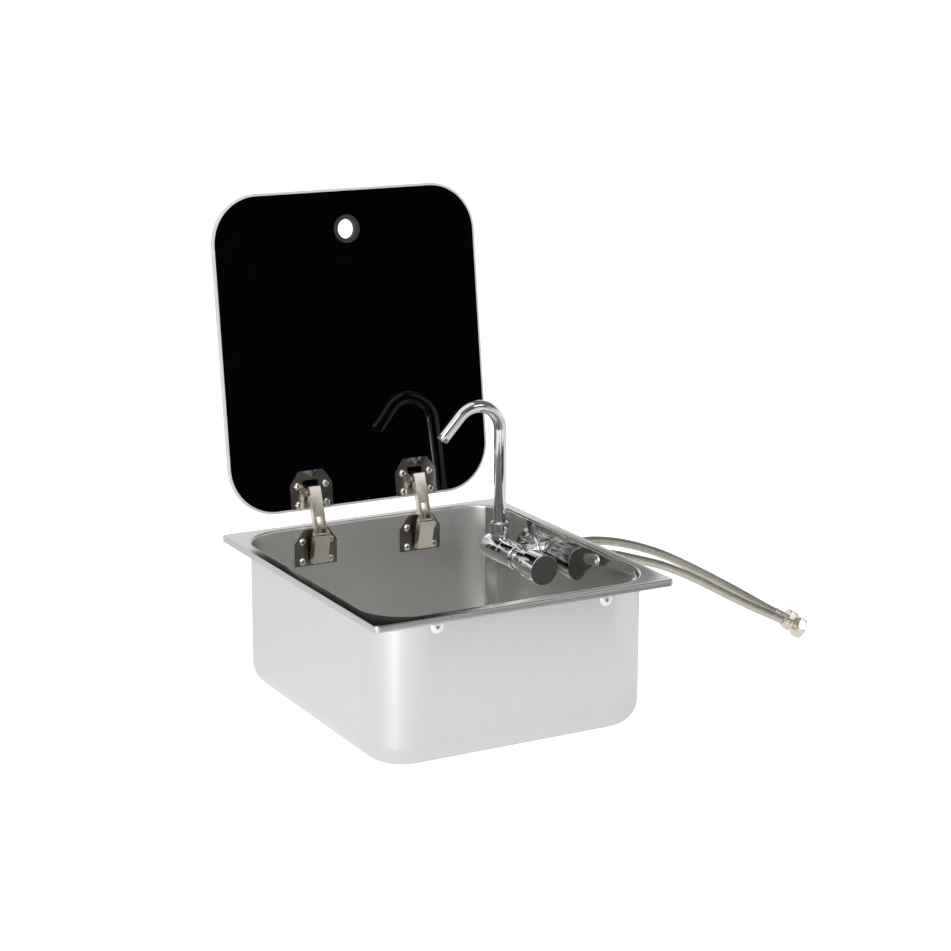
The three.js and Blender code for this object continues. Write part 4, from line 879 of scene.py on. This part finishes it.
def tap():
    """Everything of the tap that stays still, and its knob."""
    front, seat = NECK_REAR + 0.1, BODY_REAR - 8.3
    housing = on_tap(turned(softened([(0, front), (BODY - 1, front), (BODY, front + 1), (BODY, BODY_REAR - 0.4),
                                      (BODY - 0.4, BODY_REAR), (8.3, BODY_REAR), (8.3, seat), (0, seat)],
                                     0.35), 96))
    # The shank's step and thread, and the bore of what slides over them.
    step, thread, bore = WALL_X - 3.4, 12.7, 13.0
    shank = turned(softened([(0, TAP_X), (SHANK, TAP_X), (SHANK, step), (thread, step), (thread, EXIT_X),
                             (11.8, EXIT_X), (11.8, BORE_FLOOR), (0, BORE_FLOOR)], 0.3), 72)
    arm = moved(shank, ALONG_X, (0, SHANK_Y, TAP_Z))
    make("tap_housing", merged(housing, arm), CHROME_PLATE, "sink", ["tap_body"])

    rose = turned(softened([(bore, 0), (18.0, 0), (19.4, 1.0), (20.0, 2.2), (20.0, 3.2), (bore, 3.2)], 0.5,
                           closed=True), 96, closed=True)
    make("wall_rose", moved(rose, ALONG_X, (WALL_X - 3.3, SHANK_Y, TAP_Z)), CHROME_PLATE, "sink",
         ["wall_escutcheon"])
    seal = turned(softened(block(bore, 21, 0, 2), 0.4, closed=True), 96, closed=True)
    make("shank_seal", moved(seal, ALONG_X, (BOWL_HALF[0] + 0.1, SHANK_Y, TAP_Z)), BLACK_RUBBER, "sink",
         ["shank_washer"])
    backnut = hexagon(36.0, 9.0, [(13.4, 9.0), (bore, 8.6), (bore, 0.4), (13.4, 0.0)])
    tilt = np.array(ALONG_X, float) @ QUARTER_TURN
    make("shank_backnut", moved(backnut, tilt, (BOWL_HALF[0] + 2.2, SHANK_Y, TAP_Z)), TURNED_BRASS, "sink",
         ["shank_nut"])

    a, b = KNOB_REAR + 0.6, NECK_REAR
    neck = turned(softened([(6, a), (10.2, a), (11.2, a + 1), (11.2, b - 8), (10.3, b - 7.4), (10.3, b - 5.6),
                            (11.2, b - 5), (11.2, b), (6, b)], 0.3, closed=True), 96, closed=True)
    make("neck_ring", on_tap(neck), CHROME_PLATE, "sink", ["cartridge_nut"])
    spindle = turned([(0, 25), (3.3, 25), (3.3, a), (5.7, a + 0.5), (5.7, b + 6), (0, b + 6)], 40)
    make("turning_core", on_tap(spindle), TURNED_BRASS, "tap_knob", ["valve_spindle"])

    f = KNOB_FRONT
    knob = turned(softened([(0, f + 1.5), (15.35, f + 1.5), (15.35, f + 0.3), (15.7, f + 0.3), (16.0, f + 1),
                            (16.0, KNOB_REAR - 1.2), (14.8, KNOB_REAR), (3.4, KNOB_REAR), (3.4, 24), (0, 24)],
                           0.25), 120)
    make("knob_barrel", on_tap(knob), CHROME_PLATE, "tap_knob", ["control_knob"])
    cap = turned(softened([(0, f), (14.75, f), (15.25, f + 0.5), (15.25, f + 1.4), (0, f + 1.4)], 0.3), 96)
    make("knob_face", on_tap(cap), MATT_ABS, "tap_knob", ["knob_cap"])


def swivel():
    """The barrel that tips down with the lid, its end cap, and the socket and collar that hold the pipe."""
    front = BODY_REAR + 0.3
    barrel = on_tap(turned(softened([(0, front - 8), (8, front - 8), (8, front), (BODY - 0.4, front),
                                     (BODY, front + 0.4), (BODY, SWIVEL_REAR), (0, SWIVEL_REAR)], 0.3), 96))
    bore = PIPE + 0.3
    socket = turned(softened([(0, TAP_Z), (SOCKET, TAP_Z), (SOCKET, SOCKET_TOP), (bore, SOCKET_TOP),
                              (bore, SOCKET_TOP - 4), (0, SOCKET_TOP - 4)], 0.3), 72)
    mesh = carved(barrel, ("UNION", moved(socket, None, (TAP_X, SPOUT_Y, 0))))
    finish_object("swivel_barrel", mesh, CHROME_PLATE, "tap_swivel", ["swivel_body"], smooth=30.0)
    c = SWIVEL_REAR + 0.1
    cap = turned(softened([(0, c), (BODY, c), (BODY, c + 1.4), (11.9, c + 2.8), (0, c + 2.8)], 0.6), 96)
    make("swivel_cap", on_tap(cap), CHROME_PLATE, "tap_swivel", ["swivel_end_cap"])
    foot = SOCKET_TOP + 0.1
    sleeve = turned(softened([(bore, foot), (COLLAR, foot), (COLLAR, foot + 12.8), (8.0, foot + 14),
                              (bore, foot + 14)], 0.5, closed=True), 96, closed=True)
    make("spout_sleeve", moved(sleeve, None, (TAP_X, SPOUT_Y, 0)), CHROME_PLATE, "tap_swivel", ["spout_collar"])


def spout():
    """The pipe: its centre line runs straight up, round an arc x = -R (1 - cos a), z = R sin a, and straight
    down the leg. The wall turns in at the mouth to a bore that holds the insert."""
    bend_length = PIPE_BEND * PIPE_TURN
    run = np.unique(np.concatenate([np.linspace(0, PIPE_RISE, 12), PIPE_RISE + np.linspace(0, bend_length, 61),
                                    PIPE_RISE + bend_length + np.linspace(0, PIPE_LEG - 0.3, 6)]))
    angle = np.clip((run - PIPE_RISE) / PIPE_BEND, 0, PIPE_TURN)
    leg = np.maximum(run - PIPE_RISE - bend_length, 0)
    x = TAP_X - PIPE_BEND * (1 - np.cos(angle)) - leg * np.sin(angle)
    z = PIPE_FOOT + np.minimum(run, PIPE_RISE) + PIPE_BEND * np.sin(angle) + leg * np.cos(angle)
    line = np.column_stack([x, np.full_like(x, SPOUT_Y), z])
    outward = np.array([-math.sin(PIPE_TURN), 0.0, math.cos(PIPE_TURN)])
    mouth = line[-1]
    sides = 64
    around = tube(line, PIPE, sides, caps=False)[0].reshape(len(line), sides, 3)
    spokes = (around[-1] - mouth) / PIPE
    lips = [(6.42, 0.18), (6.2, 0.3), (5.6, 0.3), (5.35, 0.1), (5.3, -0.3), (5.3, -8.0), (0.0, -8.0)]
    ends = np.array([mouth + outward * along + spokes * radius for radius, along in lips])
    foot = np.repeat(line[:1][:, None], sides, 1)
    part = grid_part(np.concatenate([foot, around, ends]))
    make("spout_tube", part, CHROME_PLATE, "tap_spout", ["spout_pipe"], smooth=40.0)
    side = np.array([0.0, 1.0, 0.0])
    turn = np.column_stack([np.cross(side, -outward), side, -outward])
    insert = turned(softened([(0, 1.6), (4.0, 1.6), (4.0, 0.6), (5.2, 0.6), (5.2, 7.7), (0, 7.7)], 0.2), 48)
    make("spout_insert", moved(insert, turn, mouth + outward * 0.3), MATT_ABS, "tap_spout", ["spout_aerator"])


tap()
swivel()
spout()

# ---------- studio ----------

FLOOR_HALF = 30.0
# What mirrors see of the floor's own light, and the radius under the drain where the camera sees none of it.
FLOOR_IN_MIRRORS = 0.43
DARK_SPOT = 0.05
# The room's light: bright walls, which darken over a band into the ceiling, higher at the back than in front.
ROOM_LIGHT = 1.0
CEILING_LIGHT = 0.17
CEILING_TIP = (0, -0.25, 1)
CEILING_BAND = (0.25, 0.45)
# Each lamp: its name, place, width in metres and power in watts; it faces the sink.
LAMPS = [("window_left", (-1.5, -1.6, 1.5), 1.2, 14.0), ("fill_right", (1.12, -1.72, 1.22), 0.6, 2.8),
         ("top", (-0.45, 0.0, 1.9), 2.2, 13.0), ("low_front", (-1.08, -1.06, 0.12), 0.24, 6.0)]
# Each card, in metres: its name, centre, half width, half height and tone.
CARDS = [
    # Stands where the glass looks: the lid goes black, while the arms below it look past it.
    ("black_velvet_card", (1.03, -1.98, 0.43), (-0.37, -0.20, 0), (0, 0, 0.43), "#0a0a0a"),
    # Lies in front, for the band along the front lip: a dark sheet that only mirrors see, as painted shade in
    # the lip's reflection.
    ("lip_painted_shade_card", (0.34, -0.70, 0.004), (0.36, 0.12, 0), (-0.04, 0.10, 0), "#2c2c28"),
    # Stands behind on the right, where only the front of the flange sees it, and shades that corner.
    ("grey_side_card", (0.50, 0.51, 0.385), (0.10, 0, 0), (0, 0, 0.06), "#4a4a48"),
]


def rectangle(name, at, across, upright, finish):
    """A flat sheet round a point, with its half width and half height as vectors, in metres."""
    at, across, upright = (np.asarray(v, float) for v in (at, across, upright))
    corners = [at + p * across + q * upright for p, q in ((-1, -1), (1, -1), (1, 1), (-1, 1))]
    mesh = bpy.data.meshes.new(name)
    mesh.from_pydata([tuple(map(float, c)) for c in corners], [], [(0, 1, 2, 3)])
    mesh.materials.append(finish)
    sheet = placed(name, mesh)
    return sheet


def card_finish(name, code):
    """Cloth or board of one tone, which only mirrors see: it shows its own tone whatever light falls on it."""
    finish, tree = new_finish(name)
    tone = add(tree, "Emission", {"Color": linear(code), "Strength": 1.0})
    add(tree, "OutputMaterial", {"Surface": tone})
    return finish


def studio():
    """A pale floor that runs out of sight, a white world, soft lamps, and cards that give the metal bands."""
    scene = bpy.context.scene
    paper, tree = new_finish("white_paper_floor")
    path = add(tree, "LightPath")
    mirrored = add(tree, "Math", {0: path.outputs["Is Glossy Ray"], 1: FLOOR_IN_MIRRORS}, operation="MULTIPLY")
    # Under the drain the floor stays dark, because the bowl stands on it.
    place = add(tree, "TexCoord").outputs["Object"]
    from_drain = add(tree, "VectorMath", {0: place, 1: (0, DRAIN_Y * MM, 0)}, operation="DISTANCE")
    clear = add(tree, "Math", {0: from_drain.outputs["Value"], 1: DARK_SPOT}, operation="GREATER_THAN")
    seen = add(tree, "Math", {0: path.outputs["Is Camera Ray"], 1: clear}, operation="MULTIPLY")
    glow = add(tree, "Emission", {"Color": (1, 1, 1, 1), "Strength": add(tree, "Math", {0: seen, 1: mirrored})})
    matt = add(tree, "BsdfDiffuse", {"Color": linear("#eeeeee")})
    add(tree, "OutputMaterial", {"Surface": add(tree, "AddShader", {0: matt, 1: glow})})
    rectangle("floor", (0, 0, 0), (FLOOR_HALF, 0, 0), (0, FLOOR_HALF, 0), paper)

    world = bpy.data.worlds.new("studio")
    scene.world = world
    world.use_nodes = True
    tree = world.node_tree
    tree.nodes.clear()
    way = add(tree, "TexCoord").outputs["Generated"]
    rise = add(tree, "VectorMath", {0: way, 1: CEILING_TIP}, operation="DOT_PRODUCT").outputs["Value"]
    room = add(tree, "MapRange", {"Value": rise, "From Min": CEILING_BAND[0], "From Max": CEILING_BAND[1],
                                  "To Min": ROOM_LIGHT, "To Max": CEILING_LIGHT})
    seen = add(tree, "LightPath").outputs["Is Camera Ray"]
    strength = add(tree, "MapRange", {"Value": seen, "To Min": room, "To Max": 1.0})
    background = add(tree, "Background", {"Color": (1, 1, 1, 1), "Strength": strength})
    add(tree, "OutputWorld", {"Surface": background})

    for name, at, size, power in LAMPS:
        data = bpy.data.lights.new(name, "AREA")
        data.shape = "SQUARE"
        data.size = size
        data.energy = power
        lamp = placed(name, data)
        lamp.visible_camera = False
        from_z = unit(np.array(at) - (0.0, 0.05, 0.1))
        right = unit(np.cross((0, 0, 1), from_z))
        axes = np.column_stack([right, np.cross(from_z, right), from_z])
        lamp.matrix_world = Matrix.Translation(at) @ Matrix(axes.tolist()).to_4x4()

    for name, at, across, upright, code in CARDS:
        card = rectangle(name, at, across, upright, card_finish(name, code))
        card.visible_camera = False
        card.visible_shadow = False
        card.visible_diffuse = False
    scene.view_settings.view_transform = "Standard"


studio()
